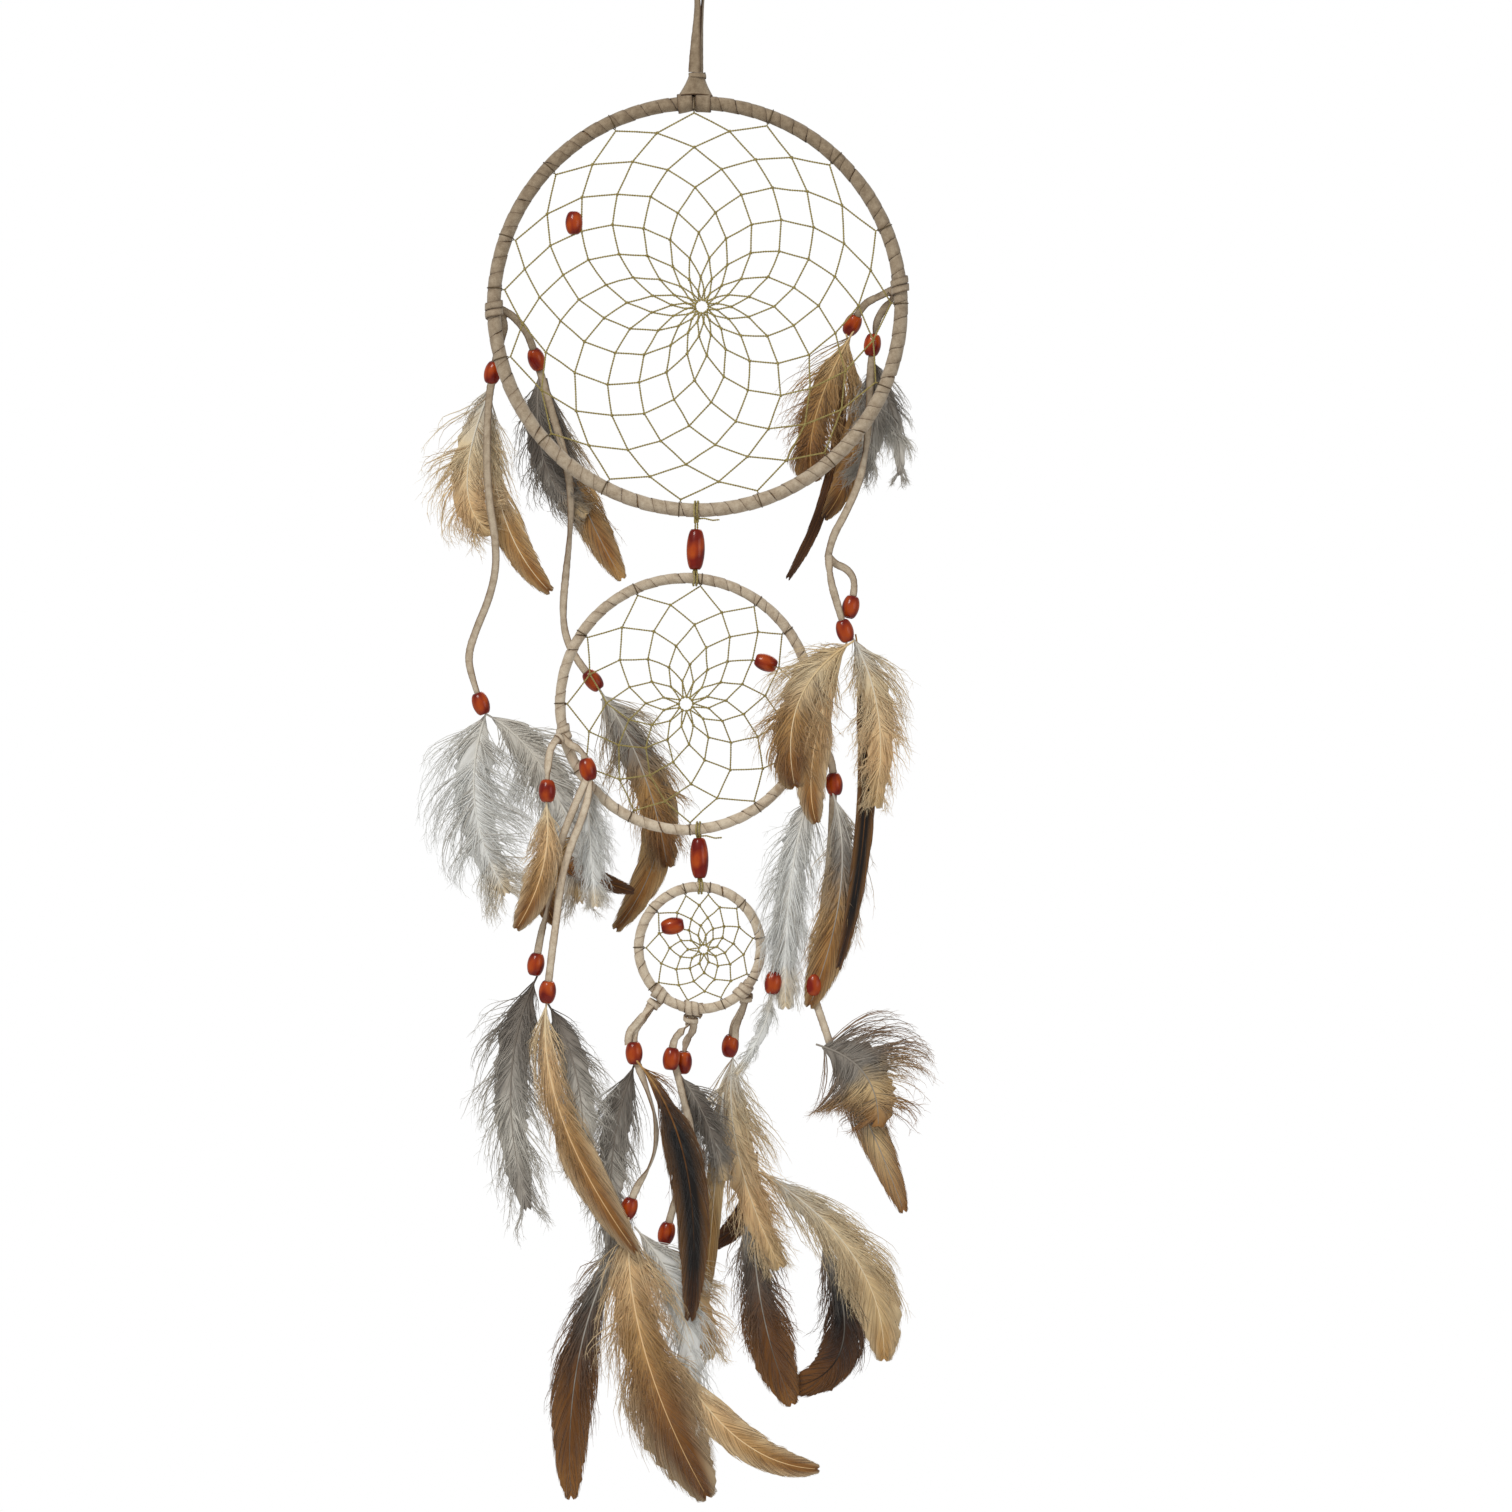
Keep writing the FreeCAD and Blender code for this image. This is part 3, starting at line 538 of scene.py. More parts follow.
# Nets: where the thread is hitched to the hoop, in degrees from +X; how far out each round's knots lie, as a
# share of the hoop's opening; and the net's own middle, from the hoop's.
NETS = {
    "large": {
        "hitches": [-165, -139, -117, -95, -72, -49, -23, 1, 23, 47, 69, 91, 115, 137, 160, 175],
        "rounds": [0.985, 0.9, 0.81, 0.71, 0.61, 0.49, 0.376, 0.25, 0.15, 0.08, 0.035],
        "centre": (2.4, 0),
    },
    "medium": {
        "hitches": [-180, -148, -116, -88, -55, -25, 6, 36, 55, 83, 114, 146],
        "rounds": [0.985, 0.83, 0.66, 0.49, 0.335, 0.19, 0.06],
        "centre": (0, 0),
    },
    "small": {
        "hitches": [-180, -140, -103, -67, -29, 10, 47, 81, 105, 140],
        "rounds": [0.96, 0.78, 0.58, 0.41, 0.26, 0.09],
        "centre": (2.2, -1),
    },
}
# The lashings: the place in degrees from +X, how many turns, how far they spread along the tube, and how
# broad the strip is, as a multiple of a lace.
LASHINGS = {
    "large": [(93.5, 1.1, 0.6, 2.1), (88.4, 1.1, 0.6, 2.1), (181, 2.1, 8.4, 1), (6.1, 2.1, 8.4, 1)],
    "medium": [(193.9, 2.1, 7.8, 1), (-16.8, 2.1, 7.8, 1)],
    "small": [(229.1, 2.1, 7.4, 1), (263.3, 2.1, 7.4, 1), (315.6, 2.1, 7.4, 1)],
}
# The bead on each net: x and z from the hoop's middle, and its lean from upright in degrees.
NET_BEADS = {"large": (-64.5, 43.7, 0), "medium": (41.8, 21.5, -70), "small": (-14.2, 11.4, 80)}

LOOP = [
    (-1.5, -2.2, -77.8), (-1.3, -2.4, -68), (-0.4, -2.3, -54), (0.4, -2.2, -40), (-2.2, -1.8, -25),
    (-6, -0.6, -13), (-5, 0, -2), (5, 0, -2), (6, 0.6, -13), (4.4, 1.8, -25), (2.6, 2.2, -40),
    (2.2, 2.3, -54), (1.6, 2.4, -68), (1.4, 2.2, -77.8),
]

# Necks: a strip drawn tight round the laces below a lashing, as (top, bottom, half width at each).
NECKS = {
    "large": [
        ((-104.6, 5.6, -203.6), (-100.9, 6.4, -207.4), 2.6, 2.2),
        ((104, 5.8, -190.6), (100.6, 6.4, -194.4), 2.6, 2.2),
    ],
    "medium": [
        ((-71.4, -5, -424.6), (-72.8, -8.4, -427), 2.6, 2.2),
        ((57, -5, -427), (58.4, -8, -430.2), 2.8, 2.4),
    ],
    "small": [
        ((-21.6, -0.8, -562.2), (-24.4, -1.2, -566.6), 3.4, 2.6),
        ((-2.7, 1.2, -569.2), (-3.6, 4.2, -575.8), 4.7, 2.4),
        ((25.4, 3.6, -559.8), (25.2, 5.8, -563.6), 3.2, 2.6),
    ],
}
# Strips that run from a lashing to a bead, each beside the lace that carries the bead.
STRIPS = {
    ("bottom_left", 0): [
        (-23.6, -2.6, -563.6), (-26.4, -3.2, -568), (-31.6, -3.4, -574.2), (-36.4, -3, -579.6),
        (-36, -2, -585.6),
    ],
    ("bottom_right", 0): [
        (25.8, 4.2, -560.4), (24, 7, -568), (20.6, 11, -575), (19.4, 14.4, -579.4), (19.8, 15.6, -586),
    ],
}
# Each lace's route, as in the CAD, after a first point inside the lashing or bead that it comes out of.
LACES = {
    "left_outer_upper": [
        [
            (-104, 4.8, -202.4), (-100.5, 4.8, -208), (-102.4, 7.5, -215), (-104.6, 9.3, -222),
            (-106.6, 10.2, -230),
        ],
    ],
    "left_outer_lower": [
        [
            (-107.6, 9.8, -237), (-109, 9, -242), (-110.4, 9, -262), (-110.6, 9, -284), (-109, 9, -304),
            (-106, 9, -321), (-105.6, 9, -337), (-109.5, 9, -353), (-116, 9.4, -368), (-120.6, 9.8, -382),
            (-118.6, 10.3, -393), (-115, 10.6, -403.6),
        ],
    ],
    "left_inner_upper": [
        [(-105, 4.6, -200), (-99, 5.4, -202.5), (-93.5, 9.5, -207.5), (-88.6, 14, -214), (-86, 17, -222.6)],
    ],
    "left_inner_lower": [
        [
            (-83.8, 19.6, -230.4), (-81.8, 18.3, -236), (-76.5, 18.5, -255), (-70.2, 18.8, -275),
            (-66.6, 19, -296), (-67.2, 19, -318), (-69.6, 19, -340), (-71.2, 19, -358), (-69.8, 19, -372),
            (-64, 19.2, -384), (-57.6, 19.4, -392),
        ],
    ],
    "right_inner": [
        [
            (104.8, 4.8, -189.2), (99.5, 6, -192), (93.2, 10.4, -194.6), (86.8, 14.6, -197.6),
            (83, 18, -204.6),
        ],
    ],
    "right_outer_upper": [
        [(105.8, 4.8, -189.6), (102.6, 5.6, -195), (97, 7.2, -201), (93.3, 8.4, -208), (92.2, 9, -215.4)],
        [
            (91.8, 8.8, -221.6), (90.9, 8.4, -227.6), (90.2, 8.4, -243), (89.6, 8.4, -260),
            (88.2, 7.6, -275), (84.6, 1.4, -292), (77, -7.6, -309), (69.6, -14.6, -322),
            (67.9, -18.4, -332),
        ],
    ],
    "right_outer_lower": [
        [
            (68.2, -20.6, -330.6), (68.4, -22.2, -336.4), (69.6, -23, -345.6), (72.6, -22.4, -355.6),
            (75.6, -21.4, -366.2),
        ],
        [
            (67.8, -17.4, -330.2), (70.2, -16.4, -334.6), (78.4, -15.6, -337.6), (82.6, -15.8, -345),
            (80.6, -16.4, -353.6),
        ],
    ],
    "middle_left_front": [
        [
            (-72.4, -7.2, -425.4), (-75.6, -13.6, -428.8), (-77, -17.6, -435.6), (-77.5, -19.6, -442.4),
            (-77.6, -20, -449),
        ],
    ],
    "middle_left_back": [
        [
            (-70.2, -4.8, -424.4), (-67.4, -6.8, -428.6), (-62.4, -9.6, -430.4), (-58.8, -10.8, -434),
            (-57.8, -11, -438),
        ],
        [
            (-56.8, -12, -444.4), (-58.6, -13, -449), (-64.6, -13.2, -463), (-71, -13.2, -479),
            (-75.2, -12.6, -498), (-77.8, -11.2, -515), (-81.6, -9.8, -528), (-83.4, -9.6, -539.4),
        ],
        [
            (-55.9, -12, -446.4), (-55.6, -13.2, -453), (-60, -17.4, -468), (-66.6, -17.6, -484),
            (-71, -17.2, -502), (-73, -16.4, -520), (-75.6, -15.2, -538), (-77.4, -13.2, -553.6),
        ],
    ],
    "middle_right": [
        [
            (56.8, -4.8, -426.6), (56.4, -8.2, -430.6), (58, -10.4, -435), (59, -11, -439.4),
            (59.2, -11, -445),
        ],
        [
            (58.2, -4.8, -425.6), (61.4, -8.4, -427.4), (67.4, -10.6, -432), (70.2, -11, -438),
            (70.9, -11, -445.6),
        ],
        [
            (59.4, -10.2, -451.6), (58.6, -8.2, -456.6), (55.4, -8.2, -476), (51.4, -8.2, -496),
            (46.4, -8.6, -516), (42, -9.8, -534), (40, -10.6, -549),
        ],
        [
            (70.9, -10.4, -452.6), (70.6, -8.2, -457.6), (70, -8.2, -478), (67.8, -8.2, -500),
            (64.8, -8.6, -520), (62, -9.8, -537), (61, -10.6, -550),
        ],
        [
            (60.5, -10.8, -556), (61.2, -11.2, -561), (64.4, -11.2, -570.6), (68, -11.2, -581),
            (71.6, -11.2, -592.6),
        ],
    ],
    "bottom_left": [
        [
            (-22.6, -1.4, -563), (-26.4, -1.5, -570.4), (-30.6, -1.5, -574.6), (-33.4, -1.5, -579.6),
            (-33.2, -1.5, -586),
        ],
        [
            (-32.6, -1.5, -592), (-30.8, -1.5, -597), (-26, -1.5, -609.6), (-21.6, -1.5, -624),
            (-21.4, -1.5, -639), (-25.6, -1.5, -651), (-32, -1.5, -659.8), (-34.6, -1.5, -667.4),
        ],
    ],
    "bottom_middle": [
        [
            (-2.8, 2.2, -570.6), (-5.4, 4.2, -576.4), (-9.4, 5, -579.8), (-12.6, 5, -583.6),
            (-13.3, 4.8, -589.4),
        ],
        [
            (-2.4, 3.2, -571), (-1.6, 6.2, -577), (-4.2, 9.6, -581.4), (-6.8, 11.8, -586),
            (-7.2, 12.4, -591.8),
        ],
        [
            (-12, 6.2, -596.4), (-10.4, 6, -601.6), (-6.8, 6, -617), (-2.8, 6, -632), (-1.8, 6, -645),
            (-6, 6, -655.6), (-12, 6.6, -667), (-15.4, 7.6, -681),
        ],
    ],
    "bottom_right": [
        [
            (25.2, 4.4, -560.2), (23.8, 7.6, -566.8), (21.4, 12.6, -571.6), (18.6, 16, -576.6),
            (17.6, 17, -583.4),
        ],
    ],
}
# Every lace ends in a bead but these: one is joined to the next piece, and one ends among feathers.
UNBEADED = {("right_outer_upper", 1), ("middle_right", 4)}

# Feathers: root, bend and tip (x, z), widest half width, depth, palette, the share of the quill that is
# down, strands of down and strands of vane.
FEATHERS = {
    "left_outer_upper": [
        ((-108.4, -241), (-134, -302), (-108, -318), 19, 13, "cream_down", 1.0, 330, 0),
        ((-110, -243), (-112, -316), (-77, -349), 9, 15.2, "cream_vane", 0.45, 150, 120),
    ],
    "left_outer_lower": [
        ((-111.5, -413.5), (-128, -462), (-100, -508), 23, 13, "white_down", 1.0, 420, 0),
        ((-109, -414), (-66, -440), (-62, -513), 21, 15.2, "smoke_down", 1.0, 380, 0),
        ((-74, -487), (-58, -499), (-33, -506), 5, 11.1, "umber_tip", 0.0, 20, 90),
    ],
    "left_inner_upper": [
        ((-83.4, -235), (-90, -290), (-58, -308), 15, 21.8, "slate_down", 0.9, 330, 40),
        ((-79, -240), (-66, -300), (-39.5, -342), 10, 23.9, "slate_gold", 0.5, 150, 130),
    ],
    "left_inner_lower": [
        ((-50, -402.4), (-24, -440), (-16, -494), 19, 21.6, "grey_brown", 0.8, 330, 60),
        ((-48, -408), (6, -466), (-44, -527), 10, 23.7, "grey_brown", 0.35, 150, 150),
    ],
    "right_inner": [
        ((80, -214.6), (53, -262), (61, -291), 17, 17.2, "ginger_vane", 0.7, 260, 90),
        ((79, -217), (92, -280), (66, -310), 8, 19.2, "ginger_vane", 0.4, 120, 110),
        ((75, -228), (79, -292), (47, -342), 3, 21.2, "umber_quill", 0.0, 10, 150),
    ],
    "right_outer_upper": [
        ((91, -226.6), (98, -262), (84, -290), 13, 12.2, "slate_white", 1.0, 300, 0),
        ((93, -229), (108, -262), (106, -288), 8, 14.2, "slate_white", 1.0, 180, 0),
    ],
    "right_outer_lower": [
        ((77.6, -377.6), (40, -402), (51, -452), 21, -23.5, "tan_brown", 0.75, 330, 80),
        ((76, -380), (52, -440), (62, -470), 9, -21.5, "gold_vane", 0.35, 120, 120),
        ((81, -374), (102, -412), (92, -462), 16, -19.5, "cream_down", 0.9, 320, 40),
        ((83, -376), (97, -462), (73, -546), 4.5, -17.5, "black_vane", 0.15, 60, 240),
    ],
    "middle_left_front": [
        ((-78, -460), (-74, -494), (-94, -525), 9, -20.5, "gold_vane", 0.5, 180, 90),
    ],
    "middle_left_back": [
        ((-57.2, -450), (-56, -480), (-53, -514), 12, -8, "white_down", 0.9, 260, 30),
        ((-61, -476), (-92, -496), (-73, -523), 8, -6.9, "ginger_vane", 0.3, 60, 110),
        ((-84.6, -552), (-108, -602), (-88, -672), 20, -7.3, "slate_white", 1.0, 300, 0),
        ((-78.6, -565.6), (-84, -622), (-31, -694), 11, -11.6, "gold_vane", 0.55, 220, 130),
        ((-76.4, -566), (-56, -602), (-60, -650), 16, -9.4, "slate_white", 1.0, 220, 0),
    ],
    "middle_right": [
        ((58.4, -456), (44, -500), (46, -567), 17, -11.6, "white_down", 0.85, 330, 60),
        ((71.4, -457), (84, -500), (58, -566), 13, -13.7, "grey_brown", 0.6, 260, 80),
        ((38.6, -560.6), (37, -577), (20, -601), 6, -9, "white_down", 1.0, 110, 0),
        ((68, -590), (86, -612), (108, -673), 9, -8.2, "grey_ginger", 0.45, 80, 110),
        ((66, -586), (96, -596), (94, -628), 27, -14.4, "grey_ginger", 0.9, 380, 0),
    ],
    "bottom_left": [
        ((-33.6, -597.6), (-50, -640), (-44, -700), 16, 1.6, "slate_white", 0.9, 330, 30),
        ((-29, -597), (6, -640), (-4, -730), 10, -4.6, "black_vane", 0.3, 120, 220),
        ((-37, -683), (-72, -742), (-66, -824), 13, 2, "slate_brown", 0.5, 200, 130),
        ((-36, -679), (-38, -746), (6, -823), 24, -4.4, "gold_brown", 0.55, 400, 150),
        ((-30, -684), (4, -722), (-6, -782), 16, -0.2, "white_down", 1.0, 280, 0),
        ((-8, -756), (22, -806), (64, -807), 9, -2.4, "gold_vane", 0.1, 30, 150),
    ],
    "bottom_middle": [
        ((-8, -603.6), (8, -626), (14, -658), 12, 8.6, "slate_down", 0.9, 200, 30),
        ((-9, -602), (-2, -630), (4, -662), 5, 10.2, "white_down", 1.0, 100, 0),
        ((-16, -692.6), (2, -712), (7, -752), 15, 9.4, "cream_down", 1.0, 220, 0),
    ],
    "bottom_right": [
        ((18.4, -594.2), (12, -642), (44, -705), 19, 17.7, "cream_down", 0.9, 400, 50),
        ((13, -616), (7, -680), (4, -722), 4.5, 13.2, "sand_vane", 0.1, 40, 160),
        ((29, -668), (28, -728), (50, -777), 15, 19.4, "slate_brown", 0.5, 250, 140),
        ((36, -656), (100, -696), (98, -754), 16, 21.1, "cream_gold", 0.5, 300, 150),
        ((66, -690), (96, -762), (46, -768), 12, 22.8, "dark_curl", 0.3, 120, 170),
        ((31, -648), (30, -686), (2, -694), 6, 24.5, "umber_quill", 0.3, 60, 100),
    ],
}

SUEDE = suede("suede")
THREAD = waxed_thread()
BEAD = bead_wood()
PLUMAGE = {palette: plumage(palette) for palette in PALETTES}
CANE = cane()
for hoop in HOOPS:
    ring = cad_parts[f"{hoop}_hoop_ring"]
    ring.data.materials.clear()
    ring.data.materials.append(CANE)


# ---------------------------------------------------------------- beads
BEAD_LENGTH = 11.8
BEAD_WIDTH = 9.0
BEAD_END = 5.2
BEAD_HOLD = 2.0       # how far a lace's end lies inside its bead
LONG_BEAD = (21, 9.6, 5.8, 2.6)      # a link bead's length, width, end and bore


def barrel_bead(name, middle, way, body, node, length=BEAD_LENGTH, width=BEAD_WIDTH, end=BEAD_END, bore=4.3):
    """A turned olive-shaped bead about its own Z, with softened rims and a bore through it."""
    half = length / 2
    outer = []
    for z in np.linspace(-1, 1, 21):
        barrel = end / 2 + (width - end) / 2 * (1 - z * z) ** 0.85
        outer.append((barrel - 0.35 * abs(z) ** 14, z * half))
    lip = bore / 2 + 0.15
    inner = [(lip, 0.1), (bore / 2, 0.5), (bore / 2, half), (bore / 2, length - 0.5), (lip, length - 0.1)]
    profile = np.array(outer + [(radius, half - below) for radius, below in inner]) * MM
    turn = np.linspace(0, 2 * math.pi, 40, endpoint=False)
    net = np.stack([
        profile[:, :1] * np.cos(turn),
        profile[:, :1] * np.sin(turn),
        np.repeat(profile[:, 1:], len(turn), 1),
    ], -1)
    soup = Soup()
    soup.grid(net, True)
    piece = soup.finish(name, BEAD, body, "bead_wood", node)
    spin = Vector((0, 0, 1)).rotation_difference(Vector(way)).to_matrix().to_4x4()
    piece.matrix_world = Matrix.Translation(Vector(middle) * MM) @ spin
    return piece


# ---------------------------------------------------------------- hoops
def around(hoop, theta, phi, radius):
    """A point round a hoop's tube, in metres: theta goes along the ring and phi round the tube."""
    h = HOOPS[hoop]
    reach = h["line"] + radius * np.cos(phi)
    x = h["centre"][0] + reach * np.cos(theta)
    z = h["centre"][1] + reach * np.sin(theta)
    return np.stack([x, radius * np.sin(phi) * np.ones_like(x), z], -1) * MM


WRAP_PRESS = 0.12     # how deep the wrap's strip and the thread's hitches are pressed into the tube's outline
WRAP_STEPS = 24       # points in each turn of the wrap
# The wrap strip's section along and out of the tube, in pitches and millimetres, with its raised edge first.
WRAP_SECTION = np.array([
    (-0.50, 0.0), (-0.49, 0.12), (-0.45, 0.18), (-0.2, 0.16), (0.1, 0.12), (0.35, 0.05),
    (0.53, -0.08), (0.56, -0.26), (0.1, -0.5), (-0.45, -0.42),
])
WRAP_EDGE = np.array([1, 1, 0.25, 0, 0, 0, 0, 0, 0, 0])


def ring_drift(rng, size, count, at):
    """A random drift round a ring, which ends where it starts."""
    drift = rng.normal(0, size, count)
    return np.interp(at, np.arange(count + 1), np.append(drift, drift[0]))


def suede_wrap(hoop, rng):
    """One long strip wound round the ring, each turn's raised edge lying over the turn before."""
    h = HOOPS[hoop]
    turns = h["turns"]
    pitch = 2 * math.pi * h["line"] / turns
    n = turns * WRAP_STEPS
    wind = np.arange(n) / WRAP_STEPS
    waves = sum(
        amplitude * np.sin(2 * math.pi * wind * cycles / turns + rng.uniform(0, 6.28))
        for amplitude, cycles in ((0.03, turns // 3), (0.025, int(turns * 0.8)), (0.02, int(turns * 1.7)))
    )
    slip = ring_drift(rng, 0.05, turns, wind)
    rough = rng.normal(0, 0.012, n)
    along = WRAP_SECTION[None, :, 0] + (waves + slip + rough)[:, None]
    theta = 2 * math.pi * wind[:, None] / turns + along * pitch / h["line"]
    phi = np.broadcast_to(2 * math.pi * wind[:, None], theta.shape)
    swell = ring_drift(rng, 0.05, turns * 4, wind * 4)
    radius = h["tube"] - WRAP_PRESS + WRAP_SECTION[None, :, 1] + swell[:, None]
    soup = Soup()
    soup.grid(around(hoop, theta, phi, radius), True, WRAP_STEPS, edge=np.tile(WRAP_EDGE, n))
    soup.finish(f"{hoop}_suede_wrap_strip", SUEDE, f"{hoop}_hoop", "suede", f"{hoop}_suede_wrap")


def hitch(soup, hoop, degrees, rng, radius=0.32):
    """The net's thread caught once round the tube and pulled down into the wrap."""
    n = 26
    phi = np.linspace(math.pi - 0.35, 3 * math.pi + 0.35, n)
    slide = np.interp(np.linspace(0, 1, n), [0, 0.5, 1], [-0.6, -0.2, 0.45]) / HOOPS[hoop]["line"]
    theta = math.radians(degrees) + slide
    line = around(hoop, theta, phi, HOOPS[hoop]["tube"] + radius - WRAP_PRESS)
    wide, deep = side_frames(line, line - around(hoop, theta, phi, 0))
    stout = np.full((1, n), radius * MM)
    # edge=1.0 gives the hitch the thread's painted shade, for the groove in the wrap that it lies in.
    soup.strands(line[None], wide[None], deep[None], stout, stout, 6, shade=rng.uniform(), edge=1.0)


def knot(soup, place, way, rng, radius=0.95):
    """A small hitch of the thread round itself."""
    n = 15
    turn = np.linspace(0, 3.2 * math.pi, n) + rng.uniform(0, 6)
    way = unit(np.array(way, float))
    side = np.cross(way, (0, 1, 0))
    deep = np.cos(turn)[:, None] * side + np.sin(turn)[:, None] * np.array((0, 1, 0))
    line = place + deep * radius * MM * 0.72 + way * np.linspace(-0.5, 0.5, n)[:, None] * MM
    wide = np.cross(tangents(line), deep)
    thin = np.full((1, n), 0.34 * MM)
    soup.strands(line[None], wide[None], deep[None], thin, thin, 5, shade=rng.uniform())


def net_rounds(hoop, rng):
    """The places of the net's knots, round by round from the hoop inwards."""
    h, layout = HOOPS[hoop], NETS[hoop]
    reach = h["line"] - h["tube"]
    centre = np.array([h["centre"][0], 0, h["centre"][1]])
    middle = np.array([layout["centre"][0], 0, layout["centre"][1]])
    angles = [math.radians(a) for a in layout["hitches"]]
    rims = [(centre + np.array([math.cos(a), 0, math.sin(a)]) * (reach - 0.3)) * MM for a in angles]
    rows = []
    for number, ratio in enumerate(layout["rounds"]):
        loose = 0 if number == 0 else 0.5 * ratio
        rows.append([
            (
                centre + middle * (1 - ratio) + np.array([math.cos(a), 0, math.sin(a)]) * reach * ratio
                + rng.normal(0, 1, 3) * (loose, 0.25, loose)
            ) * MM
            for a in angles
        ])
        angles = [(a + b) / 2 for a, b in zip(angles, angles[1:] + [angles[0] + 2 * math.pi])]
    return rims, rows


def net(hoop, rng):
    """The thread net, from its hitches on the hoop to the small open ring in its middle."""
    hitches = NETS[hoop]["hitches"]
    rims, rows = net_rounds(hoop, rng)
    soup = Soup()
    for degrees, rim, first in zip(hitches, rims, rows[0]):
        hitch(soup, hoop, degrees, rng)
        twisted(soup, np.array([rim, first]), 0.46, rng, sides=4, steps=5)
    last = len(rows) - 1
    for k in range(last):
        for i, end in enumerate(rows[k + 1]):
            for start in (rows[k][i], rows[k][(i + 1) % len(hitches)]):
                sag = (start + end) / 2 + rng.normal(0, 0.12, 3) * MM
                twisted(soup, np.array([start, sag, end]), HOOPS[hoop]["thread"], rng, sides=4, steps=5)
            knot(soup, end, rows[k][i] - end, rng, 0.82 if k < last - 2 else 0.7)
    twisted(soup, np.array(rows[-1] + rows[-1][:2]), 0.45, rng, 2.4, sides=4, steps=5)
    soup.finish(f"{hoop}_web_net", THREAD, f"{hoop}_hoop", "thread", f"{hoop}_web")


def lashings(hoop, rng):
    """Strips wound round the tube where the laces are tied, and the necks that draw the laces together."""
    h = HOOPS[hoop]
    soup = Soup()
    for degrees, turns, spread, broad in LASHINGS[hoop]:
        n = int(30 * turns)
        phi = math.pi * 0.6 + np.linspace(0, 2 * math.pi * turns, n)
        theta = math.radians(degrees) + np.linspace(-0.5, 0.5, n) * spread / h["line"]
        line = around(hoop, theta, phi, h["tube"] + 0.62)
        ribbon(soup, line, 0, rng, line - around(hoop, theta, phi, 0), scale=0.94, broad=broad)
    for top, bottom, wide_end, low_end in NECKS[hoop]:
        top, bottom = np.array(top), np.array(bottom)
        way = unit(bottom - top)
        side = unit(np.cross(way, (0, 1, 0)))
        front = np.cross(side, way)
        turn = np.linspace(0, 3.2 * math.pi, 64)
        c, s = np.cos(turn)[:, None], np.sin(turn)[:, None]
        part = np.linspace(0, 1, 64)[:, None]
        reach = (wide_end + (low_end - wide_end) * part) * (1 + 0.12 * np.sin(2 * turn)[:, None])
        line = top + (bottom - top) * (0.2 + 0.6 * part) + reach * (side * c + front * 0.72 * s)
        ribbon(soup, line * MM, 0, rng, side * c + front * s, scale=0.72)
    soup.finish(f"{hoop}_lashing_strips", SUEDE, f"{hoop}_hoop", "suede", f"{hoop}_lashings")


for seed, hoop in enumerate(HOOPS):
    rng = np.random.default_rng(100 + seed)
    suede_wrap(hoop, rng)
    net(hoop, rng)
    lashings(hoop, rng)
    x, z, lean = NET_BEADS[hoop]
    cx, cz = HOOPS[hoop]["centre"]
    tilt = math.radians(lean)
    barrel_bead(
        f"{hoop}_web_bead_turned", (cx + x, 0, cz + z), (math.sin(tilt), 0, math.cos(tilt)),
        f"{hoop}_hoop", f"{hoop}_web_bead", bore=2.2,
    )


def lace(name, points, body, node, rng, drift, strip=None, broad=(1, 1)):
    """A flat lace along its route, with the strip that runs beside it; also gives the lace's own line."""
    soup = Soup()
    lines = [nurbs_line(route) for route in (points, strip) if route]
    for line in lines:
        place = np.linspace(0, 1, len(line))
        breadth = np.interp(place, np.linspace(0, 1, len(broad)), broad)
        ribbon(soup, line, np.interp(place, np.linspace(0, 1, 5), drift), rng, broad=breadth)
    return soup.finish(name, SUEDE, body, "suede", node), lines[0]


rng = np.random.default_rng(7)
loop, loop_line = lace(
    "hanging_loop_lace", LOOP, "root", "hanging_loop", rng, [0.05, 0.9, 1.57, 1.3, 0.9],
    broad=(1.6, 1.1, 0.85, 0.85, 0.85, 0.85, 0.9, 1.1),
)

for name, routes in LACES.items():
    rng = np.random.default_rng(sum(map(ord, name)))
    bead_node = f"{name}_bead" if f"{name}_bead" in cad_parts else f"{name}_beads"
    for number, route in enumerate(routes):
        drift = rng.normal(0, 0.55, 5)
        strip = STRIPS.get((name, number))
        piece, line = lace(f"{name}_lace_{number + 1}", route, name, f"{name}_lace", rng, drift, strip)
        if (name, number) not in UNBEADED:
            before, last = np.array(route[-2:], float)
            way = unit(last - before)
            middle = last + way * (BEAD_LENGTH / 2 - BEAD_HOLD)
            bead = barrel_bead(f"{name}_bead_{number + 1}", middle, way, name, bead_node)


# ---------------------------------------------------------------- links between the hoops
LINK_THREAD = 0.55
LINK_CLEAR = 1.0      # from the tube's outline to the middle of the thread round it


